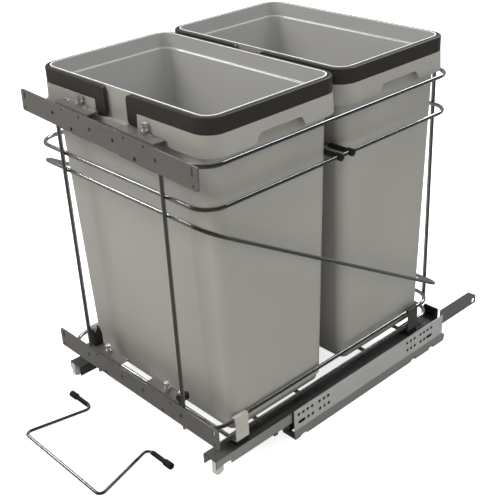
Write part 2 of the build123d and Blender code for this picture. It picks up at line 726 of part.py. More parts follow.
def cage_and_rollers(under_z, over_z, width):
    """Flat cage between two running faces, with its rollers lying across it."""
    roller_d = over_z - under_z - 2 * running_gap
    middle_z = (under_z + over_z) / 2
    pitch = cage_length / roller_count
    places = [(track_x, at(cage_front_y + pitch * (k + 1 / 2))) for k in range(roller_count)]
    with BuildPart() as cage:
        with BuildSketch(Plane.XY.offset(middle_z - cage_thickness / 2)):
            with Locations((track_x, at(cage_front_y))):
                Rectangle(width, cage_length, align=(Align.CENTER, Align.MIN))
            with Locations(*places):
                Rectangle(roller_length + 2 * running_gap, roller_d + 2 * running_gap, mode=Mode.SUBTRACT)
        extrude(amount=cage_thickness)
        mirror(about=Plane.YZ)
    with BuildPart() as rollers:
        with BuildSketch(Plane.YZ.offset(track_x)):
            with Locations(*[(place[1], middle_z) for place in places]):
                Circle(roller_d / 2)
        extrude(amount=roller_length / 2, both=True)
        mirror(about=Plane.YZ)
    return cage.part, rollers.part


lower_width = middle_width - 2 * middle_thickness - 4 * running_gap
lower_cage, lower_roller = cage_and_rollers(track_top_z, middle_top_z - middle_thickness, lower_width)
save(lower_cage, "lower_roller_cages")
save(lower_roller, "lower_rollers")
upper_width = middle_width
upper_cage, upper_roller = cage_and_rollers(middle_top_z, rail_top_z - rail_thickness, upper_width)
save(upper_cage, "upper_roller_cages")
save(upper_roller, "upper_rollers")

# ================================================================ tail straps
strap_outer_x = flange_x - cabinet_thickness
strap_top_z = strap_bottom_z + strap_height
with BuildPart() as tail_strap:
    with BuildSketch(Plane.YZ.offset(strap_outer_x)):
        Polygon((at(strap_front_y), strap_bottom_z), (at(strap_rear_y), strap_bottom_z),
                (at(strap_rear_y), strap_top_z - strap_chamfer_height),
                (at(strap_rear_y - strap_chamfer_length), strap_top_z),
                (at(strap_front_y), strap_top_z), align=None)
        with Locations((at(strap_front_y), strap_bottom_z)):
            Rectangle(strap_tongue, strap_tongue_height, align=(Align.MAX, Align.MIN))
        with Locations((at(strap_rear_y - strap_hole_inset), strap_bottom_z + strap_hole_inset)):
            Circle(strap_hole_d / 2, mode=Mode.SUBTRACT)
    extrude(amount=-strap_thickness)
save_pair(tail_strap.part, "tail_strap")

# ================================================================ soft-close housings and sliders
housing_front_y = cabinet_front_y + housing_setback
housing_outer_x = flange_x - cabinet_thickness - crease_lean
housing_inner_x = housing_outer_x - housing_width
channel_inner = housing_inner_x + housing_wall
channel_width = housing_width - 2 * housing_wall
slider_width = channel_width - 2 * running_gap
with BuildPart() as housing:
    with BuildSketch(Plane.XZ.offset(-at(housing_front_y + housing_length))):
        with Locations((housing_inner_x, cabinet_thickness)):
            Rectangle(housing_width, housing_top_z - cabinet_thickness, align=(Align.MIN, Align.MIN))
        with Locations((channel_inner, housing_top_z)):
            Rectangle(channel_width, slider_height + running_gap, align=(Align.MIN, Align.MAX),
                      mode=Mode.SUBTRACT)
    extrude(amount=housing_length)
save_pair(housing.part, "soft_close_housing")

with BuildPart() as slider:
    with BuildSketch(Plane.XZ.offset(-at(housing_front_y + slider_front + slider_length))):
        with Locations((channel_inner + running_gap, housing_top_z)):
            Rectangle(slider_width, slider_height, align=(Align.MIN, Align.MAX))
    extrude(amount=slider_length)
save_pair(slider.part, "soft_close_slider")


# ================================================================ bins
base_inset = (body_step + side_taper, body_step + end_taper)
pocket_half = ring_gap_half + tab_width + running_gap
pocket_bottom_z = ledge_top_z - tab_drop - 2 * running_gap


def grown(amount, edge=bin_corner):
    """Rounded rectangle of the rim's outline, larger all round by an amount."""
    RectangleRounded(bin_width + 2 * amount, bin_depth + 2 * amount, edge + amount)


def base_outline(inset):
    """Rounded rectangle of the body's outline at the foot, smaller all round by an inset."""
    side_inset, end_inset = base_inset
    RectangleRounded(bin_width - 2 * (side_inset + inset), bin_depth - 2 * (end_inset + inset),
                     bin_corner - body_step - inset)


def bin_body(wall, bottom_z, bottom_radius):
    """Tapered body with its foot, drawn in all round by a wall."""
    with BuildPart() as body:
        with BuildSketch(Plane.XY.offset(bottom_z)):
            base_outline(foot_step + wall)
        extrude(amount=foot_height)
        fillet(body.faces().sort_by(Axis.Z)[0].edges(), bottom_radius)
        with BuildSketch(Plane.XY.offset(bottom_z + foot_height)):
            base_outline(wall)
        with BuildSketch(Plane.XY.offset(ledge_top_z)):
            grown(-body_step - wall)
        loft()
    return body.part


def skirt_block(wall, top_z):
    """Flared block of the skirt's outline, drawn in all round by a wall, up to a height."""
    with BuildPart() as block:
        with BuildSketch(Plane.XY.offset(skirt_bottom_z)):
            grown(skirt_overhang + skirt_flare - wall)
        with BuildSketch(Plane.XY.offset(top_z)):
            grown(skirt_overhang - wall)
        loft()
    return block.part


with BuildPart() as bin_cavity:
    add(bin_body(bin_wall, bin_bottom_z + bin_floor, foot_radius - bin_wall))
    with BuildSketch(Plane.XY.offset(ledge_top_z)):
        grown(-bin_wall)
    extrude(amount=rim_height)

with BuildPart() as bin_shell:
    add(skirt_block(0, ledge_top_z))
    add(skirt_block(bin_wall, ledge_top_z - bin_wall), mode=Mode.SUBTRACT)
    add(bin_body(0, bin_bottom_z, foot_radius))
    with BuildSketch(Plane.XY.offset(ledge_top_z - bin_wall)):
        grown(0)
    extrude(amount=rim_height + bin_wall)
    # block behind the skirt's front, with the pocket that takes the ring's tabs
    with BuildSketch(Plane.XY.offset(pocket_bottom_z - bin_wall)):
        with Locations((0, -bin_depth / 2 - skirt_overhang)):
            Rectangle(2 * (pocket_half + bin_wall), skirt_overhang + body_step + bin_wall / 2,
                      align=(Align.CENTER, Align.MIN))
    extrude(amount=ledge_top_z - pocket_bottom_z + bin_wall)
    with BuildSketch(Plane.XY.offset(pocket_bottom_z)):
        with Locations((0, -bin_depth / 2)):
            Rectangle(2 * pocket_half, skirt_overhang + 2 * skirt_flare, align=(Align.CENTER, Align.MAX))
    extrude(amount=rim_height + tab_drop, mode=Mode.SUBTRACT)
    # finger recesses in both sides of the skirt
    for side in (-1, 1):
        recess_middle = (side * (bin_width / 2 + skirt_overhang + skirt_flare), grip_offset, skirt_bottom_z)
        with BuildSketch(Plane(origin=recess_middle, x_dir=(0, 1, 0), z_dir=(1, 0, 0))):
            with BuildLine():
                FilletPolyline((-grip_width / 2, 0), (grip_slant - grip_width / 2, grip_height),
                               (grip_width / 2 - grip_slant, grip_height), (grip_width / 2, 0),
                               radius=grip_corner)
                Line((grip_width / 2, 0), (-grip_width / 2, 0))
            make_face()
        extrude(amount=-side * (bin_wall + 2 * skirt_flare), mode=Mode.SUBTRACT)
    add(bin_cavity.part, mode=Mode.SUBTRACT)

# ================================================================ bag rings
ring_front_y = -bin_depth / 2 - ring_overhang
ring_bottom_z = ledge_top_z + running_gap
ring_top_z = ring_bottom_z + ring_height
tab_centre = ring_gap_half + tab_width / 2
shoulder_x = ring_gap_half + shoulder_round
with BuildPart() as bag_ring:
    with BuildSketch(Plane.XY.offset(ring_bottom_z)):
        grown(ring_overhang)
    extrude(amount=ring_height)
    fillet(bag_ring.faces().sort_by(Axis.Z)[-1].edges(), ring_round)
    with BuildSketch(Plane.XY.offset(ring_bottom_z)):
        grown(ring_slack)
    extrude(amount=ring_height, mode=Mode.SUBTRACT)
    with BuildSketch(Plane.XY.offset(ring_bottom_z)):
        grown(ring_overhang - ring_wall)
    extrude(amount=ring_height - ring_wall, mode=Mode.SUBTRACT)
    with BuildSketch(Plane.XY.offset(ring_bottom_z - tab_drop)):
        with Locations((-tab_centre, ring_front_y), (tab_centre, ring_front_y)):
            Rectangle(tab_width, tab_thickness, align=(Align.CENTER, Align.MIN))
    extrude(amount=tab_drop + ring_height - ring_wall)
    # the opening at the front, with rounded shoulders, and the tabs' rounded ends
    with BuildSketch(Plane.XZ.offset(-ring_front_y)):
        with Locations((0, ring_bottom_z - tab_drop)):
            Rectangle(2 * ring_gap_half, tab_drop + ring_height, align=(Align.CENTER, Align.MIN))
        with Locations((0, ring_top_z)):
            Rectangle(2 * shoulder_x, shoulder_round, align=(Align.CENTER, Align.MAX))
        with Locations((-shoulder_x, ring_top_z - shoulder_round), (shoulder_x, ring_top_z - shoulder_round)):
            Circle(shoulder_round, mode=Mode.SUBTRACT)
    extrude(amount=-2 * bin_corner, mode=Mode.SUBTRACT)
    tab_ends = bag_ring.edges().filter_by(Axis.Y).group_by(Axis.Z)[0]
    fillet(tab_ends, tab_round)

for centre_x, centre_y, place_name in ((front_bin_x, front_bin_y, "front"), (0, rear_bin_y, "rear")):
    with BuildPart() as placed_bin:
        with Locations((centre_x, at(centre_y), 0)):
            add(bin_shell.part)
    save(placed_bin.part, f"{place_name}_bin")
    with BuildPart() as placed_ring:
        with Locations((centre_x, at(centre_y), 0)):
            add(bag_ring.part)
    save(placed_ring.part, f"{place_name}_ring")

# ================================================================ loose bail
bail_low_z = bail_d / 2
bail_high_z = cap_bulb_d / 2
arm_y = bail_base_y + bail_arm_depth
bail_points = [(0, at(bail_base_y), bail_low_z),
               (bail_base_length / 2, at(bail_base_y), bail_low_z),
               (bail_top_length / 2, at(arm_y), bail_high_z),
               (bail_top_length / 2 + bail_end_length, at(arm_y), bail_high_z)]
with BuildPart() as bail_half:
    with BuildLine() as bail_run:
        FilletPolyline(*bail_points, radius=bail_corner)
    with BuildSketch(Plane(origin=bail_run.line @ 0, z_dir=bail_run.line % 0)):
        Circle(bail_d / 2)
    sweep(path=bail_run.line)
    mirror(about=Plane.YZ)
with BuildPart() as bail:
    with Locations((bail_centre_x, 0, 0)):
        add(bail_half.part)
save(bail.part, "loose_bail")

bail_end_x = bail_top_length / 2 + bail_end_length
with BuildPart() as cap_half:
    with BuildSketch(Plane.YZ.offset(bail_end_x - cap_sleeve_length - cap_bulb_length)):
        with Locations((at(arm_y), bail_high_z)):
            Circle(cap_sleeve_d / 2)
    extrude(amount=cap_sleeve_length)
    with BuildSketch(Plane.YZ.offset(bail_end_x - cap_bulb_length)):
        with Locations((at(arm_y), bail_high_z)):
            Circle(cap_bulb_d / 2)
    extrude(amount=cap_bulb_length + cap_end)
    with BuildSketch(Plane.YZ.offset(bail_end_x)):
        with Locations((at(arm_y), bail_high_z)):
            Circle(bail_d / 2 + weld_gap)
    extrude(amount=-bail_end_x, mode=Mode.SUBTRACT)
    mirror(about=Plane.YZ)
with BuildPart() as bail_caps:
    with Locations((bail_centre_x, 0, 0)):
        add(cap_half.part)
save(bail_caps.part, "bail_caps")
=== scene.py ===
"""Dressed model of a kitchen pull-out waste unit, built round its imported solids.

Every length is in metres and every piece is placed in the solids' own frame: X across the unit,
Y from the door into the cabinet, Z up from the cabinet floor.
"""

import json
import logging
import math
from dataclasses import dataclass
from enum import Enum, IntEnum
from typing import Callable, Sequence

import bmesh
import bpy
from bpy.types import Material, MeshPolygon, Node, NodeSocket, Object, World
from mathutils import Matrix, Vector

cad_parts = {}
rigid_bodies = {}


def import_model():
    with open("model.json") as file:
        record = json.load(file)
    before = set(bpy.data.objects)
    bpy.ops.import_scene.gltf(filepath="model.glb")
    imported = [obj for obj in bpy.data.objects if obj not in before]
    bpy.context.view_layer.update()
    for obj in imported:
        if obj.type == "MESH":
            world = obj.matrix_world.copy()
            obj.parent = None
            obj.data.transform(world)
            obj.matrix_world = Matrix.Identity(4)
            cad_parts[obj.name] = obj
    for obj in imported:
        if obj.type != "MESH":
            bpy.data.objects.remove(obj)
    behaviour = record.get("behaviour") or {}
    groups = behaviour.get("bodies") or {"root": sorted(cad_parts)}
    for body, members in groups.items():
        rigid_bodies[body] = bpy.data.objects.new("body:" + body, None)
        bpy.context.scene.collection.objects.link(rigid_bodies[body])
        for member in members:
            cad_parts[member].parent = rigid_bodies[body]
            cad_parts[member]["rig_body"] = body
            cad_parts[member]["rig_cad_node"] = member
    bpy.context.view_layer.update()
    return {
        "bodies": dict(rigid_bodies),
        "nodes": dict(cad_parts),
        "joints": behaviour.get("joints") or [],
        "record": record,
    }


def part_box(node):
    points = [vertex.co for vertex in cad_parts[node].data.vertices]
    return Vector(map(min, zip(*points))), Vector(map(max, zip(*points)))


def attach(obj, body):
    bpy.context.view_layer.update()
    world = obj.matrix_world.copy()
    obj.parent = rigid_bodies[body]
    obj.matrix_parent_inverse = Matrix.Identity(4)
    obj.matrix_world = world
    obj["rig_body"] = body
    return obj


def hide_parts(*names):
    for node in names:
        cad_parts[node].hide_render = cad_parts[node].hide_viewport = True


log = logging.getLogger("waste_unit")

MM = 0.001
SIDES = {"left": -1, "right": 1}

WELD = 0.001 * MM  # vertices this close merge in a modelled piece
SOLID_WELD = 0.002 * MM  # and in a copied solid
SAME_SIZE = 1e-6  # a scale this near to 1 leaves a size as it is
QUAD = 4  # corners of a skin's side faces, where its end faces have more
FLAT_ANGLE = 0.4  # degrees between triangles of one flat face, at most
MOULD_ANGLE = 32.0  # degrees at a rounded edge of a moulding, at least
SHEET_ANGLE = 42.0  # the same for sheet and turned pieces
WIRE_ANGLE = 60.0  # and for wires and rubber caps

Triple = tuple[float, float, float]
Colour = tuple[float, float, float]
Range = tuple[float, float]
NOISE_RANGE: Range = (0.3, 0.7)  # where most of a noise's values lie
Element = bmesh.types.BMVert | bmesh.types.BMEdge | bmesh.types.BMFace


class Kind(Enum):
    """The kinds of mesh element, with bmesh's words for them."""

    VERT = "verts"
    EDGE = "edges"
    FACE = "faces"


class Change(Enum):
    """What a tool does to a piece, with Blender's words for it."""

    CUT = "DIFFERENCE"
    ADD = "UNION"


def quarter_arc(radius: float, steps: int) -> list[Range]:
    """How far a rounding lies within its two sides, from (0, radius) to (radius, 0)."""
    turns = (math.pi / 2 * step / steps for step in range(steps + 1))
    return [(radius * (1.0 - math.cos(turn)), radius * (1.0 - math.sin(turn))) for turn in turns]


# -------------------------------- modelling bench
@dataclass(frozen=True)
class Outline:
    """A level rounded rectangle: its half width, half depth, corner radius and height."""

    half_x: float
    half_y: float
    corner: float
    z: float

    def grown(self, amount: float, z: float) -> "Outline":
        """The outline an even amount outside this one, or inside it if negative, at a height."""
        return Outline(self.half_x + amount, self.half_y + amount, self.corner + amount, z)

    def arc_centre(self, side_x: int, side_y: int) -> Vector:
        """The middle of a corner's arc seen from above, for sides of -1 and 1."""
        return Vector((side_x * (self.half_x - self.corner), side_y * (self.half_y - self.corner)))


def clear() -> None:
    """Leave edit mode and deselect every object."""
    if bpy.context.object is not None and bpy.context.object.mode != "OBJECT":
        bpy.ops.object.mode_set(mode="OBJECT")
    bpy.ops.object.select_all(action="DESELECT")


def pick(piece: Object) -> None:
    """Select one object alone and make it active.

    Args:
        piece: the object to work on.
    """
    clear()
    piece.select_set(True)
    bpy.context.view_layer.objects.active = piece


def enter(piece: Object) -> None:
    """Open a piece in edit mode with everything selected.

    Args:
        piece: the object to edit.
    """
    pick(piece)
    bpy.ops.object.mode_set(mode="EDIT")
    bpy.ops.mesh.select_all(action="SELECT")


def leave() -> None:
    """Merge doubles, turn the faces outwards and leave edit mode."""
    bpy.ops.mesh.select_mode(type="VERT")
    bpy.ops.mesh.select_all(action="SELECT")
    bpy.ops.mesh.remove_doubles(threshold=WELD)
    bpy.ops.mesh.normals_make_consistent(inside=False)
    bpy.ops.mesh.select_all(action="DESELECT")
    bpy.ops.object.mode_set(mode="OBJECT")


def label(piece: Object, name: str) -> Object:
    """Name a piece and its mesh.

    Args:
        piece: the object.
        name: their name.

    Returns:
        The object.
    """
    piece.name = name
    piece.data.name = name
    return piece


def plate(name: str, half_x: float, half_y: float, z: float) -> Object:
    """Add a level rectangle round the Z axis and open it in edit mode.

    Args:
        name: the piece's name.
        half_x: half its width.
        half_y: half its depth.
        z: its height.

    Returns:
        The new object, in edit mode with everything selected.
    """
    clear()
    bpy.ops.mesh.primitive_plane_add(size=2.0)  # its half sides are 1
    piece = label(bpy.context.object, name)
    enter(piece)
    resize((half_x, half_y, 1.0), (0.0, 0.0, 0.0))
    bpy.ops.transform.translate(value=(0.0, 0.0, z))
    return piece


def disc(name: str, radius: float, sides: int, z: float, face: bool = True) -> Object:
    """Add a level circle round the Z axis and open it in edit mode.

    Args:
        name: the piece's name.
        radius: its radius.
        sides: the number of its corners.
        z: its height.
        face: whether a face fills it.

    Returns:
        The new object, in edit mode with everything selected.
    """
    clear()
    fill = "NGON" if face else "NOTHING"
    bpy.ops.mesh.primitive_circle_add(vertices=sides, radius=radius, fill_type=fill)
    piece = label(bpy.context.object, name)
    enter(piece)
    bpy.ops.transform.translate(value=(0.0, 0.0, z))
    return piece


def tower(name: str, outlines: Sequence[Outline], steps: int) -> Object:
    """Raise a skin through level outlines, closed by a face at both ends, and stay in edit mode.

    Args:
        name: the piece's name.
        outlines: the outlines in order.
        steps: segments in each corner.

    Returns:
        The new object.
    """
    first = outlines[0]
    piece = plate(name, first.half_x, first.half_y, first.z)
    bpy.ops.mesh.bevel(offset=first.corner, segments=steps, affect="VERTICES", clamp_overlap=False)
    bpy.ops.mesh.select_all(action="SELECT")
    for old, new in zip(outlines, outlines[1:]):
        raise_outline(old, new)
    return piece


def raise_outline(old: Outline, new: Outline) -> None:
    """Extrude the selected face and turn its rounded outline into another one.

    Each corner's arc is scaled about the point that carries it onto the new arc.

    Args:
        old: the outline that is selected.
        new: the outline that it becomes.
    """
    extrude(new.z - old.z)
    mesh = bpy.context.object.data
    work = bmesh.from_edit_mesh(mesh)
    bpy.ops.mesh.select_mode(type="VERT")
    cap = [vert for vert in work.verts if vert.select]
    factor = new.corner / old.corner
    for side_x in SIDES.values():
        for side_y in SIDES.values():
            for vert in work.verts:
                vert.select = False
            for vert in cap:
                vert.select = vert.co.x * side_x > 0 and vert.co.y * side_y > 0
            work.select_flush_mode()
            old_arc = old.arc_centre(side_x, side_y)
            new_arc = new.arc_centre(side_x, side_y)
            if abs(factor - 1.0) < SAME_SIZE:
                bpy.ops.transform.translate(value=(*(new_arc - old_arc), 0.0))
            else:
                still = (new_arc - factor * old_arc) / (1.0 - factor)
                resize((factor, factor, 1.0), (*still, new.z))
    for vert in cap:
        vert.select = True
    work.select_flush(True)
    bmesh.update_edit_mesh(mesh)
    bpy.ops.mesh.select_mode(type="FACE")


def choose(kind: Kind, test: Callable[[Element], bool]) -> None:
    """Select elements of the mesh in edit mode by a test, and nothing else.

    Args:
        kind: the elements' kind.
        test: whether an element is selected.
    """
    mesh = bpy.context.object.data
    work = bmesh.from_edit_mesh(mesh)
    bpy.ops.mesh.select_mode(type=kind.name)
    bpy.ops.mesh.select_all(action="DESELECT")
    for element in getattr(work, kind.value):
        if test(element):
            element.select_set(True)
    work.select_flush(True)
    bmesh.update_edit_mesh(mesh)


def extrude(rise: float) -> None:
    """Extrude the selected region upwards."""
    bpy.ops.mesh.extrude_region_move(TRANSFORM_OT_translate={"value": (0.0, 0.0, rise)})


def resize(scale: Triple, centre: Triple) -> None:
    """Scale the selection about a point, by a factor on each axis."""
    bpy.ops.transform.resize(value=scale, center_override=centre)


def round_corners(radius: float, steps: int) -> None:
    """Round the selected corners of a flat sheet and select the whole sheet."""
    bpy.ops.mesh.bevel(offset=radius, segments=steps, affect="VERTICES")
    bpy.ops.mesh.select_all(action="SELECT")


def modify(piece: Object, kind: str, **settings: object) -> None:
    """Apply a modifier to a piece.

    Args:
        piece: the object.
        kind: the modifier's type.
        settings: its properties.
    """
    pick(piece)
    modifier = piece.modifiers.new(kind.lower(), kind)
    for key, value in settings.items():
        setattr(modifier, key, value)
    bpy.ops.object.modifier_apply(modifier=modifier.name)


def soften(piece: Object, width: float, steps: int = 2, angle: float = SHEET_ANGLE) -> None:
    """Round a piece's edges with an applied bevel and shade it smooth.

    Args:
        piece: the object.
        width: the bevel's width.
        steps: its segments.
        angle: the least angle, in degrees, between the faces of a rounded edge.
    """
    modify(piece, "BEVEL", width=width, segments=steps, limit_method="ANGLE",
           angle_limit=math.radians(angle))
    smooth(piece, angle)


def smooth(piece: Object, angle: float) -> None:
    """Shade a piece smooth except at its sharper edges.

    Args:
        piece: the object.
        angle: edges sharper than this, in degrees, stay crisp.
    """
    pick(piece)
    bpy.ops.object.shade_smooth_by_angle(angle=math.radians(angle))
    modify(piece, "WEIGHTED_NORMAL", keep_sharp=True)


def put(piece: Object, matrix: Matrix) -> None:
    """Turn and move a piece's mesh, leaving its object at the origin.

    Args:
        piece: the object.
        matrix: the placement.
    """
    piece.matrix_world = matrix
    pick(piece)
    bpy.ops.object.transform_apply(location=True, rotation=True, scale=True)


def copy(piece: Object, name: str) -> Object:
    """Duplicate a piece with a mesh of its own.

    Args:
        piece: the object to copy.
        name: the copy's name.

    Returns:
        The copy.
    """
    pick(piece)
    bpy.ops.object.duplicate(linked=False)
    return label(bpy.context.object, name)


def carve(piece: Object, tool: Object, change: Change = Change.CUT) -> None:
    """Cut a closed tool out of a piece, or add it, and remove the tool.

    Args:
        piece: the object that is changed.
        tool: the other closed object.
        change: whether the tool is cut out or added.
    """
    modify(piece, "BOOLEAN", operation=change.value, solver="EXACT", object=tool)
    bpy.data.objects.remove(tool)


def merged(node: Object, name: str) -> Object:
    """Copy a solid with its loose triangles merged into flat faces.

    Args:
        node: the solid, which is left as it is.
        name: the copy's name.

    Returns:
        The copy, which rides on nothing yet.
    """
    twin = copy(node, name)
    twin.parent = None
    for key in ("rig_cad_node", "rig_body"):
        del twin[key]
    enter(twin)
    bpy.ops.mesh.remove_doubles(threshold=SOLID_WELD)
    bpy.ops.mesh.customdata_custom_splitnormals_clear()
    bpy.ops.mesh.dissolve_limited(angle_limit=math.radians(FLAT_ANGLE))
    bpy.ops.object.mode_set(mode="OBJECT")
    return twin


def join(name: str, pieces: Sequence[Object]) -> Object:
    """Join pieces into one object.

    Args:
        name: the joined object's name.
        pieces: the objects, the first of which is kept.

    Returns:
        The joined object.
    """
    pick(pieces[0])
    for piece in pieces:
        piece.select_set(True)
    bpy.ops.object.join()
    return label(pieces[0], name)


def dress(piece: Object, *materials: Material) -> None:
    """Give an object its materials, and its faces the first one.

    Args:
        piece: the object.
        materials: the materials.
    """
    piece.data.materials.clear()
    for material in materials:
        piece.data.materials.append(material)


# -------------------------------- finishes
class Slot(Enum):
    """The record's material slots."""

    BIN = "bin_plastic"
    RING = "ring_plastic"
    BRACKET = "bracket_steel"
    CLIP = "clip_steel"
    CHROME = "chrome_wire"
    ZINC = "zinc_hardware"
    RAIL = "rail_steel"
    STRAP = "strap_steel"
    RUBBER = "black_rubber"
    BLACK = "black_plastic"
    LIGHT = "light_plastic"


class Nodes:
    """A node tree, built a node at a time."""

    def __init__(self, owner: Material | World) -> None:
        """Empty the owner's node tree.

        Args:
            owner: the material or world.
        """
        owner.use_nodes = True
        self.tree = owner.node_tree
        self.tree.nodes.clear()

    def add(self, kind: str, feeds: dict[str | int, object] | None = None, **settings: str) -> Node:
        """Add a node, set it up and feed its inputs.

        Args:
            kind: the node's type, without the prefix that all of them have.
            feeds: a constant or another node's output for each input, by name or number.
            settings: the node's own properties.

        Returns:
            The node.
        """
        node = self.tree.nodes.new(f"ShaderNode{kind}")
        for key, value in settings.items():
            setattr(node, key, value)
        for key, feed in (feeds or {}).items():
            if isinstance(feed, NodeSocket):
                self.tree.links.new(feed, node.inputs[key])
            else:
                node.inputs[key].default_value = feed
        return node

    def span(self, value: NodeSocket, low: float, high: float,
             source: Range = NOISE_RANGE) -> NodeSocket:
        """Map a value's range, by default that of noise, onto another range."""
        return self.add("MapRange", {"Value": value, "From Min": source[0], "From Max": source[1],
                                     "To Min": low, "To Max": high}).outputs["Result"]

    def along(self, place: NodeSocket, direction: Triple, source: Range,
              target: Range) -> NodeSocket:
        """Map how far a place lies in a direction from the source range onto the target."""
        reach = self.add("VectorMath", {0: place, 1: direction}, operation="DOT_PRODUCT")
        return self.span(reach.outputs["Value"], *target, source)

    def either(self, choice: NodeSocket, first: Node, second: Node) -> Node:
        """Pick the first shader where the choice is 0 and the second where it is 1."""
        return self.add("MixShader", {0: choice, 1: first.outputs[0], 2: second.outputs[0]})


@dataclass(frozen=True)
class Noise:
    """Cloudy noise: cycles a metre, octaves, the finer ones' weight, and a scale on each axis."""

    scale: float
    detail: float
    rough: float = 0.55
    stretch: Triple = (1.0, 1.0, 1.0)

    def build(self, nodes: Nodes) -> NodeSocket:
        """Add the noise to a material.

        Args:
            nodes: the material's nodes.

        Returns:
            The noise's value.
        """
        place = nodes.add("TexCoord").outputs["Object"]
        scaled = nodes.add("Mapping", {"Vector": place, "Scale": self.stretch}).outputs["Vector"]
        return nodes.add("TexNoise", {"Vector": scaled, "Scale": self.scale, "Detail": self.detail,
                                      "Roughness": self.rough}).outputs["Fac"]


@dataclass(frozen=True)
class Finish:
    """A surface whose colour drifts a little, whose gloss is uneven and whose skin has a fine relief.

    The shades multiply the colour at the drift's ends, and the spread is what the wear's ends add to
    the roughness. A spangle adds that share of crystal-like cells to the drift.
    """

    name: str
    colour: Colour
    roughness: float = 0.42
    metal: float = 0.0
    spangle: float = 0.0
    specular: float = 0.5
    drift: Noise = Noise(22.0, 5.0, 0.6)
    drift_ends: Range = (0.0, 1.0)
    shades: Range = (0.93, 1.07)
    wear: Noise = Noise(160.0, 4.0, 0.65)
    spread: Range = (-0.06, 0.07)
    skin: Noise = Noise(1500.0, 2.0)
    relief: float = 0.08 * MM
    strength: float = 0.3
    cells: float = 240.0

    def shade(self, factor: float) -> tuple[float, ...]:
        """The colour times a factor, with its alpha."""
        return (*(part * factor for part in self.colour), 1.0)

    def build(self) -> Material:
        """Make the material.

        Returns:
            The material.
        """
        material = bpy.data.materials.new(self.name)
        nodes = Nodes(material)
        drift = nodes.span(self.drift.build(nodes), *self.drift_ends)
        if self.spangle:
            place = nodes.add("TexCoord").outputs["Object"]
            cells = nodes.add("TexVoronoi", {"Vector": place, "Scale": self.cells})
            grey = nodes.add("RGBToBW", {"Color": cells.outputs["Color"]})
            drift = nodes.add("Math", {0: grey.outputs["Val"], 1: self.spangle, 2: drift},
                              operation="MULTIPLY_ADD").outputs[0]
        low, high = self.shades
        tint = nodes.add("Mix", {"Factor": drift, "A": self.shade(low), "B": self.shade(high)},
                         data_type="RGBA")
        gloss = nodes.span(self.wear.build(nodes), *(self.roughness + end for end in self.spread))
        bump = nodes.add("Bump", {"Height": self.skin.build(nodes), "Distance": self.relief,
                                  "Strength": self.strength})
        main = nodes.add("BsdfPrincipled", {
            "Base Color": tint.outputs["Result"], "Metallic": self.metal, "Roughness": gloss,
            "Specular IOR Level": self.specular, "Normal": bump.outputs["Normal"]})
        nodes.add("OutputMaterial", {"Surface": main.outputs[0]})
        return material


@dataclass(frozen=True)
class MouldedPlastic(Finish):
    """Injection-moulded plastic with a fine spark-eroded grain."""

    roughness: float = 0.34
    specular: float = 0.4
    drift: Noise = Noise(7.0, 4.0)
    shades: Range = (0.96, 1.04)
    wear: Noise = Noise(45.0, 5.0, 0.6)
    spread: Range = (-0.04, 0.05)
    skin: Noise = Noise(2600.0, 2.0)
    relief: float = 0.12 * MM
    strength: float = 0.35


@dataclass(frozen=True)
class CoatedSteel(Finish):
    """Sheet steel under a thin satin coat."""

    metal: float = 0.35


@dataclass(frozen=True)
class ChromePlate(Finish):
    """Bright chrome on drawn wire."""

    roughness: float = 0.1
    metal: float = 1.0
    drift: Noise = Noise(60.0, 4.0)
    shades: Range = (0.95, 1.0)
    wear: Noise = Noise(300.0, 3.0)
    spread: Range = (-0.03, 0.05)
    skin: Noise = Noise(420.0, 2.0)
    relief: float = 0.02 * MM
    strength: float = 0.2


ROLLED = Noise(260.0, 3.0, 0.6, (1.0, 0.06, 1.0))


@dataclass(frozen=True)
class ZincSheet(Finish):
    """Zinc-coated sheet or wire with rolling marks along Y and a faint spangle."""

    drift: Noise = ROLLED
    drift_ends: Range = (0.2, 0.8)
    shades: Range = (0.84, 1.12)
    wear: Noise = ROLLED
    spread: Range = (-0.08, 0.1)
    skin: Noise = ROLLED
    relief: float = 0.03 * MM
    strength: float = 0.25


@dataclass(frozen=True)
class Rubber(Finish):
    """Soft black rubber or vinyl."""

    roughness: float = 0.5
    specular: float = 0.45
    drift: Noise = Noise(90.0, 4.0)
    shades: Range = (0.8, 1.5)
    wear: Noise = Noise(90.0, 4.0)
    spread: Range = (-0.08, 0.08)
    skin: Noise = Noise(1800.0, 2.0)


SLOT_FINISHES: dict[Slot, Finish] = {
    Slot.BIN: MouldedPlastic("bin_grey", (0.335, 0.326, 0.303)),
    Slot.RING: MouldedPlastic("ring_dark", (0.03, 0.026, 0.024), skin=Noise(3200.0, 2.0)),
    Slot.BRACKET: CoatedSteel("bracket_grey", (0.165, 0.158, 0.149)),
    Slot.CLIP: ZincSheet("clip_zinc", (0.52, 0.5, 0.465), 0.38, 0.15, 0.05),
    Slot.CHROME: ChromePlate("wire_chrome", (0.58, 0.58, 0.57)),
    Slot.ZINC: ZincSheet("bolt_zinc", (0.7, 0.7, 0.68), 0.24, 0.8, 0.03),
    Slot.RAIL: ZincSheet("rail_zinc", (0.44, 0.445, 0.43), 0.36, 0.12, 0.1),
    Slot.STRAP: CoatedSteel("strap_dark", (0.17, 0.168, 0.162)),
    Slot.RUBBER: Rubber("cap_rubber", (0.012, 0.011, 0.011)),
    Slot.BLACK: MouldedPlastic("black_nylon", (0.014, 0.014, 0.014), 0.45),
    Slot.LIGHT: MouldedPlastic("light_nylon", (0.5, 0.51, 0.48), 0.45),
}
# Painted light: the bin's inside is lighter and cooler than its outside.
INSIDE = MouldedPlastic("bin_inside", (0.42, 0.42, 0.413))
# Painted highlight: the bin's rim top is much lighter than the plastic.
LIP = MouldedPlastic("bin_lip", (0.78, 0.78, 0.77), 0.25)
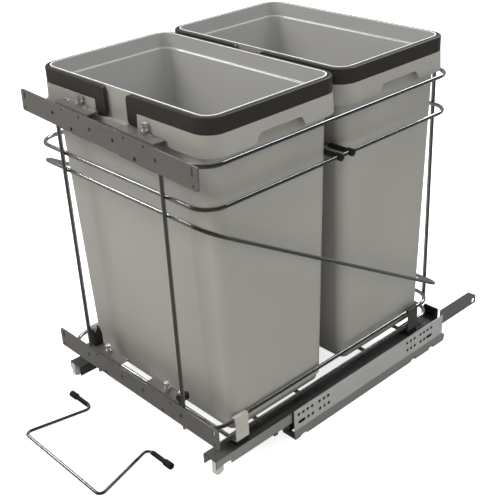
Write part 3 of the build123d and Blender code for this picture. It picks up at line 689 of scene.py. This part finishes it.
# Painted shade: a darker zinc for the drawer rails and rear clips.
ZINC_PAINTED_SHADE = ZincSheet("drawer_zinc", (0.1, 0.102, 0.098), 0.32, 0.55, 0.06)
# Painted deep shadow: a near-black zinc for the hooks, inner tracks, middle rails and the rails' bore
# walls.
ZINC_PAINTED_DEEP_SHADOW = ZincSheet("inner_zinc", (0.025, 0.025, 0.024), 0.45, 0.5, 0.06)
# Painted half shade: a darker zinc for the rails' lower bands, and the lit outer side of the drawer rails'
# noses.
SKIRTING = ZincSheet("rail_zinc_low", (0.25, 0.252, 0.24), 0.38, 0.12, 0.1)


# -------------------------------- workshop
class Workshop:
    """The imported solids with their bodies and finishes, and the way a piece takes a solid's place."""

    def __init__(self, frame: dict) -> None:
        """Read the solids' bodies and finishes and give every solid its finish.

        Args:
            frame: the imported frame.
        """
        record = frame["record"]
        self.nodes = frame["nodes"]
        self.slots = {entry["node"]: Slot(entry["material_slot"]) for entry in record["subparts"]}
        self.homes = {node: body for body, members in record["behaviour"]["bodies"].items()
                      for node in members}
        self.materials: dict[Finish, Material] = {}
        self.plastics: list[Object] = []
        self.metals: list[Object] = []
        for name, node in self.nodes.items():
            dress(node, self.material(SLOT_FINISHES[self.slots[name]]))

    def material(self, finish: Finish) -> Material:
        """A finish's material, which is made the first time.

        Args:
            finish: the finish.

        Returns:
            The material.
        """
        if finish not in self.materials:
            self.materials[finish] = finish.build()
        return self.materials[finish]

    def hand_over(self, piece: Object, *names: str, finish: Finish | None = None,
                  extras: Sequence[Finish] = ()) -> None:
        """Let a finished piece stand for solids of one body and one slot.

        Args:
            piece: the finished piece.
            names: the solids' names.
            finish: its finish, or None for the slot's own.
            extras: the finishes that some of its faces have instead.
        """
        slot = self.slots[names[0]]
        worn = (finish or SLOT_FINISHES[slot], *extras)
        dress(piece, *(self.material(one) for one in worn))
        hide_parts(*names)
        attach(piece, self.homes[names[0]])
        (self.plastics if slot is Slot.BIN else self.metals).append(piece)
        log.info("%s stands for %s on %s, %d faces", piece.name, ", ".join(names),
                 self.homes[names[0]], len(piece.data.polygons))

    def refine(self, name: str, ending: str, edge: float, steps: int = 2, angle: float = SHEET_ANGLE,
               finish: Finish | None = None, extras: Sequence[Finish] = ()) -> Object:
        """Replace a solid by its merged copy with rounded edges.

        Args:
            name: the solid's name.
            ending: what the copy's name ends with.
            edge: the width of its edges' rounding.
            steps: segments in the rounding.
            angle: the least angle, in degrees, of a rounded edge.
            finish: its finish, or None for the slot's own.
            extras: the finishes that some of its faces have instead.

        Returns:
            The copy.
        """
        piece = merged(self.nodes[name], f"{name}_{ending}")
        soften(piece, edge, steps, angle)
        self.hand_over(piece, name, finish=finish, extras=extras)
        return piece


# -------------------------------- bins
class BinFace(IntEnum):
    """A bin's finishes, in the order of its materials: its own grey, a painted rim highlight, an inside of
    painted light.
    """

    OUTSIDE = 0
    LIP = 1
    INSIDE = 2


@dataclass
class WasteBin:
    """A moulded bin: tapered body on a foot, skirt with finger recesses, rim, and a pocket for the tabs."""

    node: str
    overhang: float = 7.3 * MM
    flare: float = 1.5 * MM
    skirt_height: float = 28.7 * MM
    rim_height: float = 22.0 * MM
    rim_corner: float = 20.0 * MM
    rim_steps: int = 8
    wall: float = 2.2 * MM
    floor: float = 2.6 * MM
    body_step: float = 3.0 * MM
    side_taper: float = 7.0 * MM
    end_taper: float = 11.0 * MM
    foot_step: float = 4.0 * MM
    foot_height: float = 14.0 * MM
    foot_radius: float = 6.0 * MM
    bend_steps: int = 4
    pocket_half: float = 45.3 * MM
    pocket_drop: float = 20.6 * MM
    pocket_shave: float = 0.055 * MM
    grip_width: float = 88.0 * MM
    grip_slant: float = 4.0 * MM
    grip_height: float = 13.5 * MM
    grip_corner: float = 9.0 * MM
    grip_steps: int = 6
    grip_offset: float = 3.5 * MM
    edge: float = 0.7 * MM
    edge_steps: int = 3
    level: float = 0.5

    def __post_init__(self) -> None:
        """Take the bin's place, its rim and its heights from its solid."""
        low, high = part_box(self.node)
        reach = self.overhang + self.flare
        self.centre = (low + high) / 2
        self.bottom = low.z
        self.foot_top = low.z + self.foot_height
        self.top = high.z
        self.ledge = self.top - self.rim_height
        self.skirt_end = self.ledge - self.skirt_height
        self.rim = Outline((high.x - low.x) / 2 - reach, (high.y - low.y) / 2 - reach, self.rim_corner,
                           self.top)

    def body(self, z: float, wall: float) -> Outline:
        """The tapered body's outline.

        Args:
            z: its height.
            wall: how far it is drawn in.

        Returns:
            The outline.
        """
        share = (self.ledge - z) / (self.ledge - self.foot_top)
        inset = self.body_step + wall
        return Outline(self.rim.half_x - inset - share * self.side_taper,
                       self.rim.half_y - inset - share * self.end_taper, self.rim.corner - inset, z)

    def rounded_end(self, side: Outline, bottom: float, radius: float) -> list[Outline]:
        """Outlines up a rounded edge between a flat end at the bottom and a side wall."""
        return [side.grown(-inset, bottom + rise)
                for rise, inset in quarter_arc(radius, self.bend_steps)]

    def shelf(self, body: Outline) -> list[Outline]:
        """Outlines down the inner shelf behind the rim: a small fillet, then a rounded edge.

        Args:
            body: the body's inner outline at the ledge.

        Returns:
            The outlines from the rim's foot to the body's inner wall.
        """
        wall_line = self.rim.grown(-self.wall, self.ledge)
        width = wall_line.half_x - body.half_x
        fillet = width / 3
        hollow = [wall_line.grown(-inset, self.ledge + rise)
                  for inset, rise in quarter_arc(fillet, self.bend_steps)]
        nose = [wall_line.grown(left - width, self.ledge - drop)
                for drop, left in quarter_arc(width - fillet, self.bend_steps)[1:]]
        return hollow + nose

    def shell(self) -> Object:
        """Raise the whole bin from its underside to its inner floor as one closed skin.

        Returns:
            The bin's shell.
        """
        outer = self.body(self.foot_top, 0.0)
        inner = self.body(self.foot_top, self.wall)
        under = self.ledge - self.wall
        floor_z = self.bottom + self.floor
        foot = outer.grown(-self.foot_step, self.foot_top)
        inner_foot = inner.grown(-self.foot_step, self.foot_top + self.floor)
        skirt_low = self.rim.grown(self.overhang + self.flare, self.skirt_end)
        skirt_high = self.rim.grown(self.overhang, self.ledge)
        outlines = [
            *self.rounded_end(foot, self.bottom, self.foot_radius), foot, outer, self.body(under, 0.0),
            skirt_high.grown(-self.wall, under), skirt_low.grown(-self.wall, self.skirt_end),
            skirt_low, skirt_high, self.rim.grown(0.0, self.ledge), self.rim,
            self.rim.grown(-self.wall, self.top), *self.shelf(self.body(self.ledge, self.wall)),
            inner.grown(0.0, inner_foot.z), inner_foot,
            *self.rounded_end(inner_foot, floor_z, self.foot_radius - self.wall)[::-1]]
        piece = tower(f"{self.node}_moulding", outlines, self.rim_steps)
        leave()
        return piece

    def box_tool(self, half_x: float, front: float, back: float, low: float, high: float) -> Object:
        """A closed box across the middle of the bin's front.

        Args:
            half_x: half its width.
            front: its front face's depth.
            back: its back face's depth.
            low: its underside.
            high: its top.

        Returns:
            The tool.
        """
        tool = plate("tool", half_x, (back - front) / 2, low)
        bpy.ops.transform.translate(value=(0.0, (front + back) / 2, 0.0))
        extrude(high - low)
        leave()
        return tool

    def grip_tool(self, side: int) -> Object:
        """A closed slug of a finger recess's outline, through the skirt on one side.

        Args:
            side: -1 for the left, 1 for the right.

        Returns:
            The tool.
        """
        depth = self.wall + 2 * self.flare
        reach = self.rim.half_x + self.overhang + self.flare + self.wall
        half = self.grip_width / 2
        tool = plate("tool", self.grip_height, half, 0.0)
        choose(Kind.VERT, lambda vert: vert.co.x > 0.0)
        resize((1.0, (half - self.grip_slant) / half, 1.0), (0.0, 0.0, 0.0))
        round_corners(self.grip_corner, self.grip_steps)
        extrude(depth + 2 * self.wall)
        leave()
        upright = Matrix(((0.0, 0.0, float(side), side * (reach - depth - self.wall)),
                          (0.0, 1.0, 0.0, self.grip_offset),
                          (1.0, 0.0, 0.0, self.skirt_end), (0.0, 0.0, 0.0, 1.0)))
        put(tool, upright)
        enter(tool)
        leave()
        return tool

    def finish_of(self, face: MeshPolygon) -> BinFace:
        """The finish of a face, by where it lies and looks.

        Args:
            face: a face of the finished bin.

        Returns:
            The rim's painted highlight on its top, the inside's painted light where faces look in or up
            within it.
        """
        opening = self.rim.grown(-self.wall, self.top)
        out = face.center - self.centre
        if face.center.z > self.top - self.edge / 2:
            return BinFace.LIP
        inward = face.normal.x * out.x + face.normal.y * out.y < 0
        within = abs(out.x) < opening.half_x and abs(out.y) < opening.half_y
        return BinFace.INSIDE if inward or (face.normal.z > self.level and within) else BinFace.OUTSIDE

    def build(self, shop: Workshop) -> None:
        """Mould the bin, cut its recesses and hand it over.

        Args:
            shop: the workshop.
        """
        piece = self.shell()
        front = -self.rim.half_y
        pocket_floor = self.ledge - self.pocket_drop
        skin = self.wall / 4
        block = self.box_tool(self.pocket_half + self.wall, front - self.overhang + skin,
                              front + self.body_step + self.wall / 2, pocket_floor - self.wall,
                              self.ledge - skin)
        carve(piece, block, Change.ADD)
        pocket = self.box_tool(self.pocket_half, front - self.overhang - self.wall - self.flare,
                               front + self.pocket_shave, pocket_floor, self.top + self.wall)
        carve(piece, pocket)
        for side in SIDES.values():
            carve(piece, self.grip_tool(side))
        put(piece, Matrix.Translation((self.centre.x, self.centre.y, 0.0)))
        soften(piece, self.edge, self.edge_steps, MOULD_ANGLE)
        # The rim's top gets a painted highlight, the inside a lighter, cooler plastic of painted light.
        shop.hand_over(piece, self.node, extras=(LIP, INSIDE))
        for face in piece.data.polygons:
            face.material_index = self.finish_of(face)


@dataclass
class BagRing:
    """An angle-section ring over the bin's rim, open at the front with a tab each side of the opening."""

    node: str
    slack: float = 1.6 * MM
    overhang: float = 7.0 * MM
    corner: float = 27.0 * MM
    corner_steps: int = 10
    wall: float = 2.4 * MM
    height: float = 21.0 * MM
    crown: float = 2.0 * MM
    crown_steps: int = 4
    gap_half: float = 24.0 * MM
    shoulder: float = 8.0 * MM
    shoulder_steps: int = 6
    tab_width: float = 21.0 * MM
    tab_thickness: float = 4.0 * MM
    tab_round: float = 7.0 * MM
    tab_steps: int = 6
    edge: float = 0.45 * MM

    def __post_init__(self) -> None:
        """Take the ring's place and size from its solid."""
        low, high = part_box(self.node)
        self.centre = (low + high) / 2
        self.top = high.z
        self.bottom = high.z - self.height
        self.tab_end = low.z
        self.outer = Outline((high.x - low.x) / 2, (high.y - low.y) / 2, self.corner, self.bottom)

    def section(self) -> list[Outline]:
        """The outlines round the ring's section, from its outer foot over the crown to its inner foot.

        Returns:
            The outlines in order.
        """
        crown = [self.outer.grown(-inset, self.top - drop)
                 for inset, drop in quarter_arc(self.crown, self.crown_steps)]
        inner = self.outer.grown(self.slack - self.overhang, self.top)
        lining = self.outer.grown(-self.wall, self.bottom)
        return [self.outer, *crown, inner, inner.grown(0.0, self.top - self.wall),
                lining.grown(0.0, self.top - self.wall), lining]

    def band(self) -> Object:
        """Raise the section's outlines and close the skin under the ring.

        Returns:
            The closed ring, without its opening.
        """
        piece = tower(f"{self.node}_moulding", self.section(), self.corner_steps)
        choose(Kind.FACE, lambda face: len(face.verts) > QUAD)
        bpy.ops.mesh.delete(type="FACE")
        choose(Kind.EDGE, lambda edge: edge.is_boundary)
        bpy.ops.mesh.bridge_edge_loops()
        leave()
        return piece

    def opening_tool(self) -> Object:
        """A closed slug of the opening, flared at its top by the ring's rounded shoulders.

        Returns:
            The tool.
        """
        tool = plate("tool", self.gap_half, self.corner, self.bottom - self.wall)
        extrude(self.height + self.wall - self.shoulder)
        wide = self.gap_half
        level = self.top - self.shoulder
        for flare, drop in quarter_arc(self.shoulder, self.shoulder_steps)[1:]:
            next_wide = self.gap_half + flare
            next_level = self.top - drop
            extrude(next_level - level)
            resize((next_wide / wide, 1.0, 1.0), (0.0, 0.0, next_level))
            wide, level = next_wide, next_level
        extrude(self.wall)
        leave()
        put(tool, Matrix.Translation((0.0, -self.outer.half_y, 0.0)))
        return tool

    def tab(self, side: int) -> Object:
        """A tab with two rounded lower corners, hung behind the ring's front wall.

        Args:
            side: -1 for the left, 1 for the right.

        Returns:
            The closed tab.
        """
        half_height = (self.top - 2 * self.wall - self.tab_end) / 2
        tab = plate("tab", self.tab_width / 2, half_height, 0.0)
        choose(Kind.VERT, lambda vert: vert.co.y < 0.0)
        round_corners(self.tab_round, self.tab_steps)
        extrude(self.tab_thickness)
        leave()
        upright = Matrix(((1.0, 0.0, 0.0, side * (self.gap_half + self.tab_width / 2)),
                          (0.0, 0.0, -1.0, self.tab_thickness - self.outer.half_y),
                          (0.0, 1.0, 0.0, self.tab_end + half_height), (0.0, 0.0, 0.0, 1.0)))
        put(tab, upright)
        return tab

    def build(self, shop: Workshop) -> None:
        """Mould the ring and hand it over.

        Args:
            shop: the workshop.
        """
        piece = self.band()
        for side in SIDES.values():
            carve(piece, self.tab(side), Change.ADD)
        carve(piece, self.opening_tool())
        put(piece, Matrix.Translation((self.centre.x, self.centre.y, 0.0)))
        soften(piece, self.edge, angle=MOULD_ANGLE)
        shop.hand_over(piece, self.node)


# -------------------------------- carriage and slides
@dataclass
class WireFrame:
    """The chrome wires of the carriage and the rods and rubber clips between the bins."""

    wires: tuple[str, ...] = ("top_hoop", "middle_hoop", "slanted_hoop", "base_hoop_and_posts",
                              "lower_base_hoop", "rear_post_left", "rear_post_right", "cross_wires",
                              "divider_rod_front", "divider_rod_rear")
    wire_edge: float = 0.5 * MM
    clip_edge: float = 2.4 * MM
    clip_steps: int = 4

    def build(self, shop: Workshop) -> None:
        """Smooth the wires, round their cut ends and round the clips' ends.

        Args:
            shop: the workshop.
        """
        for name in self.wires:
            shop.refine(name, "wire", self.wire_edge, angle=WIRE_ANGLE)
        shop.refine("divider_clips", "rubber", self.clip_edge, self.clip_steps, WIRE_ANGLE)


@dataclass
class DoorMount:
    """The slotted door brackets, the channels behind them, and their bolts, nuts and clamps."""

    bracket_edge: float = 0.45 * MM
    channel_edge: float = 0.35 * MM
    clamp_edge: float = 1.4 * MM
    clamp_steps: int = 3
    bolt_edge: float = 0.4 * MM
    length: float = 380.0 * MM
    height: float = 31.4 * MM
    rise: float = 16.8 * MM
    overlap: float = 3.4 * MM
    bolt_x: float = 70.5 * MM
    bolt_depths: Range = (10.5 * MM, 17.9 * MM)
    bolt_radius: float = 2.5 * MM
    bolt_sides: int = 20
    bolt_tail: float = 4.0 * MM
    bolt_stand: float = 9.0 * MM
    head_radius: float = 4.25 * MM
    head_height: float = 4.0 * MM
    head_sides: int = 6
    pitch: float = 0.8 * MM
    thread: float = 0.22 * MM
    thread_angle: float = 30.0

    def build(self, shop: Workshop) -> None:
        """Round every pressed and turned edge.

        Args:
            shop: the workshop.
        """
        for level in ("bottom", "top"):
            shop.refine(f"{level}_door_bracket", "pressing", self.bracket_edge)
            for side in SIDES:
                shop.refine(f"{level}_channel_{side}", "pressing", self.channel_edge)
        for side in SIDES:
            shop.refine(f"post_clamp_{side}", "casting", self.clamp_edge, self.clamp_steps)
        for name in ("clamp_bolts", "lock_nuts"):
            shop.refine(name, "turned", self.bolt_edge)
        self.bolts(shop)

    def shank(self, length: float) -> Object:
        """Turn a threaded shank.

        Args:
            length: its length.

        Returns:
            The shank, standing at the origin.
        """
        turns = round(length / self.pitch)
        pitch = length / turns
        root = self.bolt_radius - self.thread
        piece = disc("bolt", self.bolt_radius, self.bolt_sides, 0.0, False)
        for scale, level in ((root / self.bolt_radius, pitch / 2), (self.bolt_radius / root, pitch)):
            bpy.ops.mesh.extrude_edges_move(TRANSFORM_OT_translate={"value": (0.0, 0.0, pitch / 2)})
            resize((scale, scale, 1.0), (0.0, 0.0, level))
        modify(piece, "ARRAY", count=turns, use_relative_offset=False, use_constant_offset=True,
               constant_offset_displace=(0.0, 0.0, pitch), use_merge_vertices=True,
               merge_threshold=self.thread / 10)
        enter(piece)
        bpy.ops.mesh.fill_holes(sides=0)
        leave()
        smooth(piece, self.thread_angle)
        return piece

    def bolt(self) -> Object:
        """Turn one bolt: a threaded shank from its tail upwards under a chamfered hexagon head.

        Returns:
            The bolt, standing on its tail at the origin.
        """
        length = self.height + 2 * self.overlap + self.bolt_tail + self.bolt_stand
        shank = self.shank(length)
        head = disc("head", self.head_radius, self.head_sides, length)
        extrude(self.head_height)
        leave()
        soften(head, self.bolt_edge)
        return join("bolt", [shank, head])

    def bolts(self, shop: Workshop) -> None:
        """Stand a bolt in each channel of both brackets.

        Args:
            shop: the workshop.
        """
        model = self.bolt()
        copies = []
        for level, depth in zip(("bottom", "top"), self.bolt_depths):
            low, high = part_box(f"{level}_door_bracket")
            tilt = math.atan2(self.rise, self.length) if level == "top" else 0.0
            middle = Vector(((low.x + high.x) / 2, low.y + depth, (low.z + high.z) / 2))
            turn = Matrix.Rotation(tilt, 4, "Y")
            for side in SIDES.values():
                tail = (side * self.bolt_x, 0.0, -self.height / 2 - self.overlap - self.bolt_tail)
                twin = copy(model, "bolt_copy")
                put(twin, Matrix.Translation(middle) @ turn @ Matrix.Translation(tail))
                copies.append(twin)
        bpy.data.objects.remove(model)
        shop.hand_over(join("adjusting_bolts_turned", copies), "adjusting_bolts")


class RailFace(IntEnum):
    """A cabinet rail's finishes, in the order of its materials: zinc, painted shade below the crease,
    painted bore shadow.
    """

    FLANGE = 0
    SKIRTING = 1
    BORE = 2


@dataclass
class Slides:
    """Drawer rails, cabinet rails and what runs between them, with the clips that hold the frame."""

    sheet_edge: float = 0.3 * MM
    block_edge: float = 0.8 * MM
    # The drawer rail gets a darker zinc of painted shade, the hook, inner track and middle rail a
    # near-black one of painted deep shadow.
    pressed: tuple[tuple[str, Finish | None], ...] = (
        ("drawer_rail", ZINC_PAINTED_SHADE), ("rear_hook", ZINC_PAINTED_DEEP_SHADOW), ("inner_track", ZINC_PAINTED_DEEP_SHADOW), ("middle_rail", ZINC_PAINTED_DEEP_SHADOW),
        ("tail_strap", None))
    moulded: tuple[str, ...] = ("lock_tab", "catch", "soft_close_housing", "soft_close_slider")
    crease: float = 20.5 * MM
    crease_angle: float = 5.0
    hole_edge: float = 0.1 * MM
    hole_angle: float = 40.0
    bore_inset: float = 4.0 * MM
    bore_facing: float = 0.5
    nose_facing: float = 0.6
    dimple: float = 1.3 * MM
    dimple_sides: int = 20
    dimple_back: float = 6.5 * MM
    dimple_rise: float = 9.0 * MM

    def build(self, shop: Workshop) -> None:
        """Round the edges of the slides' pieces.

        Args:
            shop: the workshop.
        """
        for side, sign in SIDES.items():
            for name, finish in self.pressed:
                # The drawer rail's nose gets a lighter zinc on its lit outer side, against its painted
                # shade.
                extras = (SKIRTING,) if name == "drawer_rail" else ()
                piece = shop.refine(f"{name}_{side}", "pressing", self.sheet_edge, finish=finish,
                                    extras=extras)
                if extras:
                    self.paint_lit_nose_side(piece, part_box(f"cabinet_rail_{side}")[0].y, sign)
            self.flange(shop, f"cabinet_rail_{side}")
            for name in self.moulded:
                shop.refine(f"{name}_{side}", "moulding", self.block_edge)
            # The rear clip gets the darker zinc of painted shade.
            for name, finish in (("front_clip", None), ("rear_clip", ZINC_PAINTED_SHADE)):
                self.clip(shop, f"{name}_{side}", sign, finish)
        for name in ("clip_feet", "lower_roller_cages", "upper_roller_cages"):
            shop.refine(name, "moulding", self.sheet_edge)
        for name in ("lower_rollers", "upper_rollers", "clip_screws", "track_rivets"):
            shop.refine(name, "turned", self.sheet_edge)

    def paint_lit_nose_side(self, piece: Object, end: float, side: int) -> None:
        """Give the outer side of a drawer rail's nose a lighter zinc, its second finish, as the lit side
        beside the rail's painted shade.

        Args:
            piece: the drawer rail.
            end: the depth where the nose ends, at the cabinet rail's front.
            side: -1 for the left, 1 for the right.
        """
        enter(piece)
        bpy.ops.mesh.bisect(plane_co=(0.0, end, 0.0), plane_no=(0.0, 1.0, 0.0))
        bpy.ops.object.mode_set(mode="OBJECT")
        for face in piece.data.polygons:
            face.material_index = int(face.normal.x * side > self.nose_facing and face.center.y < end)

    def flange(self, shop: Workshop, name: str) -> None:
        """Keep a cabinet rail's crease crisp, with painted shade on its lower band and painted shadow in
        its bores.

        Args:
            shop: the workshop.
            name: the rail's name.
        """
        low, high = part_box(name)
        piece = shop.refine(name, "pressing", self.hole_edge, 1, self.hole_angle,
                            extras=(SKIRTING, ZINC_PAINTED_DEEP_SHADOW))
        smooth(piece, self.crease_angle)
        for face in piece.data.polygons:
            between = low.y + self.bore_inset < face.center.y < high.y - self.bore_inset
            below = face.center.z < high.z - self.bore_inset
            # Painted shade on the band below the crease.
            if face.center.z < self.crease:
                face.material_index = RailFace.SKIRTING
            # Painted shadow on the bore walls.
            elif between and below and abs(face.normal.x) < self.bore_facing:
                face.material_index = RailFace.BORE

    def clip(self, shop: Workshop, name: str, side: int, finish: Finish | None) -> None:
        """Round a clip's edges and press two dimples into its outer face.

        Args:
            shop: the workshop.
            name: the clip's name.
            side: -1 for the left, 1 for the right.
            finish: its finish, or None for the slot's own.
        """
        low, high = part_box(name)
        middle = (low + high) / 2
        face_x = high.x if side > 0 else low.x
        piece = merged(shop.nodes[name], f"{name}_pressing")
        for rise in (-self.dimple_rise, self.dimple_rise):
            tool = disc("tool", self.dimple, self.dimple_sides, -self.dimple / 3)
            bpy.ops.mesh.inset(thickness=self.dimple / 2)
            bpy.ops.mesh.select_all(action="SELECT")
            extrude(self.dimple)
            leave()
            turn = Matrix.Rotation(side * math.pi / 2, 4, "Y")
            where = (face_x, middle.y - self.dimple_back, middle.z + rise)
            put(tool, Matrix.Translation(where) @ turn)
            carve(piece, tool)
        soften(piece, self.sheet_edge)
        shop.hand_over(piece, name, finish=finish)


@dataclass
class LooseBail:
    """The wire bail that lies in front of the unit, with a rubber cap on each end."""

    wire_edge: float = 0.4 * MM
    cap_edge: float = 2.6 * MM
    cap_steps: int = 4

    def build(self, shop: Workshop) -> None:
        """Smooth the wire and round its caps."""
        shop.refine("loose_bail", "wire", self.wire_edge, angle=WIRE_ANGLE)
        shop.refine("bail_caps", "rubber", self.cap_edge, self.cap_steps, WIRE_ANGLE)


# -------------------------------- studio
WHITE: Colour = (1.0, 1.0, 1.0)
WARM: Colour = (1.0, 0.965, 0.905)
AMBER: Colour = (1.0, 0.945, 0.8)
COOL: Colour = (0.88, 0.94, 1.0)
HAZE: Colour = (1.0, 0.985, 0.955)


@dataclass(frozen=True)
class Lamp:
    """A square lamp: its place, side, watts and colour.

    A soft one lights surfaces and doesn't show in gloss, and any other one shows only there.
    """

    name: str
    where: Triple
    size: float
    power: float
    colour: Colour
    soft: bool = True

    def hang(self, target: Vector, only: Sequence[Object] = ()) -> None:
        """Hang the lamp.

        Args:
            target: the point that it is aimed at.
            only: the pieces that it reaches, or none for all.
        """
        data = bpy.data.lights.new(self.name, "AREA")
        data.shape = "SQUARE"
        data.size = self.size
        data.energy = self.power
        data.color = self.colour
        lamp = bpy.data.objects.new(self.name, data)
        lamp.location = self.where
        lamp.rotation_euler = (target - Vector(self.where)).to_track_quat("-Z", "Y").to_euler()
        lamp.visible_diffuse = self.soft
        lamp.visible_glossy = not self.soft
        if only:
            reached = bpy.data.collections.new(f"{self.name}_reaches")
            for piece in only:
                reached.objects.link(piece)
            lamp.light_linking.receiver_collection = reached
        bpy.context.scene.collection.objects.link(lamp)


@dataclass
class Studio:
    """Camera, lamps, world and floor."""

    focal_px: float = 927.42
    frame_px: float = 500.0
    sensor: float = 36.0
    far: float = 50.0
    azimuth: float = -0.8365
    elevation: float = 0.4872
    roll: float = -0.0516
    eye: Triple = (0.95718, -0.860655, 0.90449)
    target: Triple = (0.0, 0.0, 0.28)
    soft_light: float = 0.5
    dark_side: Triple = (0.83, -0.53, 0.17)
    reflections: tuple[Range, ...] = (
        (0.0, 0.3), (0.3, 0.24), (0.46, 0.14), (0.58, 0.05), (0.8, 0.03), (1.0, 0.05))
    floor_size: float = 14.0
    floor_drop: float = 0.4 * MM
    floor_grey: float = 0.86
    floor_lift: float = 0.75
    floor_reach: Range = (-0.45, 0.25)
    floor_mirror: Range = (0.24, 0.06)
    lamps: tuple[Lamp, ...] = (Lamp("key", (-1.2, -2.4, 2.6), 1.6, 66.0, WARM),
                               Lamp("fill", (2.6, -0.6, 1.9), 2.0, 12.0, AMBER),
                               Lamp("top", (0.2, 0.8, 3.0), 2.2, 78.0, COOL))
    plastic_lamps: tuple[Lamp, ...] = (
        Lamp("plastic_glint", (-2.3, -0.95, 2.3), 0.7, 170.0, COOL, False),)
    metal_lamps: tuple[Lamp, ...] = (Lamp("metal_glint", (-2.3, -0.95, 2.3), 0.5, 7.0, COOL, False),
                                     Lamp("rear_glint", (-0.35, 2.4, 2.7), 1.7, 48.0, COOL, False))

    def camera(self) -> None:
        """Place the camera at the photograph's angle."""
        data = bpy.data.cameras.new("eye")
        data.sensor_width = self.sensor
        data.sensor_fit = "HORIZONTAL"
        data.lens = self.focal_px / self.frame_px * self.sensor
        data.clip_end = self.far
        eye = bpy.data.objects.new("eye", data)
        bpy.context.scene.collection.objects.link(eye)
        ahead = Vector((math.sin(self.azimuth) * math.cos(self.elevation),
                        math.cos(self.azimuth) * math.cos(self.elevation), -math.sin(self.elevation)))
        level = Vector((math.cos(self.azimuth), -math.sin(self.azimuth), 0.0))
        above = level.cross(ahead)
        right = math.cos(self.roll) * level + math.sin(self.roll) * above
        up = -math.sin(self.roll) * level + math.cos(self.roll) * above
        pose = Matrix((right, up, -ahead)).transposed().to_4x4()
        pose.translation = Vector(self.eye)
        eye.matrix_world = pose
        bpy.context.scene.camera = eye

    def world(self) -> None:
        """White backdrop for the camera, even soft light, and a dark side for metal to reflect."""
        world = bpy.data.worlds.new("studio")
        bpy.context.scene.world = world
        nodes = Nodes(world)
        path = nodes.add("LightPath").outputs
        share = nodes.along(nodes.add("TexCoord").outputs["Generated"], self.dark_side, (-1.0, 1.0),
                            (0.0, 1.0))
        bands = nodes.add("ValToRGB", {"Fac": share})
        stops = bands.color_ramp.elements
        for position, _ in self.reflections[1:-1]:
            stops.new(position)
        for stop, (position, grey) in zip(stops, self.reflections):
            stop.position = position
            stop.color = (grey, grey, grey, 1.0)
        mirror = nodes.add("Background", {"Color": bands.outputs["Color"]})
        soft = nodes.add("Background", {"Color": (*HAZE, 1.0), "Strength": self.soft_light})
        white = nodes.add("Background", {"Color": (*WHITE, 1.0)})
        light = nodes.either(path["Is Glossy Ray"], soft, mirror)
        seen = nodes.either(path["Is Camera Ray"], light, white)
        nodes.add("OutputWorld", {"Surface": seen.outputs[0]})

    def floor(self) -> None:
        """Lay the pale floor, which metal sees as a dull ground that darkens to the dark side."""
        floor = plate("floor", self.floor_size / 2, self.floor_size / 2, -self.floor_drop)
        leave()
        material = bpy.data.materials.new("floor_white")
        nodes = Nodes(material)
        path = nodes.add("LightPath").outputs
        paint = nodes.add("BsdfDiffuse", {"Color": (*[self.floor_grey] * 3, 1.0)})
        lift = nodes.add("Math", {0: path["Is Camera Ray"], 1: self.floor_lift}, operation="MULTIPLY")
        glow = nodes.add("Emission", {"Strength": lift.outputs[0]})
        lit = nodes.add("AddShader", {0: paint.outputs[0], 1: glow.outputs[0]})
        fall = nodes.along(nodes.add("NewGeometry").outputs["Position"], self.dark_side,
                           self.floor_reach, self.floor_mirror)
        dull = nodes.add("BsdfDiffuse", {"Color": fall})
        seen = nodes.either(path["Is Glossy Ray"], lit, dull)
        nodes.add("OutputMaterial", {"Surface": seen.outputs[0]})
        dress(floor, material)

    def build(self, shop: Workshop) -> None:
        """Set the whole studio up.

        Args:
            shop: the workshop, whose pieces some lamps are kept to.
        """
        self.camera()
        self.world()
        self.floor()
        for lamps, only in ((self.lamps, ()), (self.plastic_lamps, shop.plastics),
                            (self.metal_lamps, shop.metals)):
            for lamp in lamps:
                lamp.hang(Vector(self.target), only)
        bpy.context.scene.view_settings.view_transform = "Standard"


def main() -> None:
    """Build the unit round its solids and report each piece."""
    logging.basicConfig(level=logging.INFO, format="%(name)s: %(message)s")
    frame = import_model()
    clear()
    shop = Workshop(frame)
    sections = [WasteBin("front_bin"), WasteBin("rear_bin"), BagRing("front_ring"), BagRing("rear_ring")]
    sections += [WireFrame(), DoorMount(), Slides(), LooseBail()]
    for section in sections:
        section.build(shop)
    Studio().build(shop)
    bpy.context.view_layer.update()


if __name__ == "__main__":
    main()
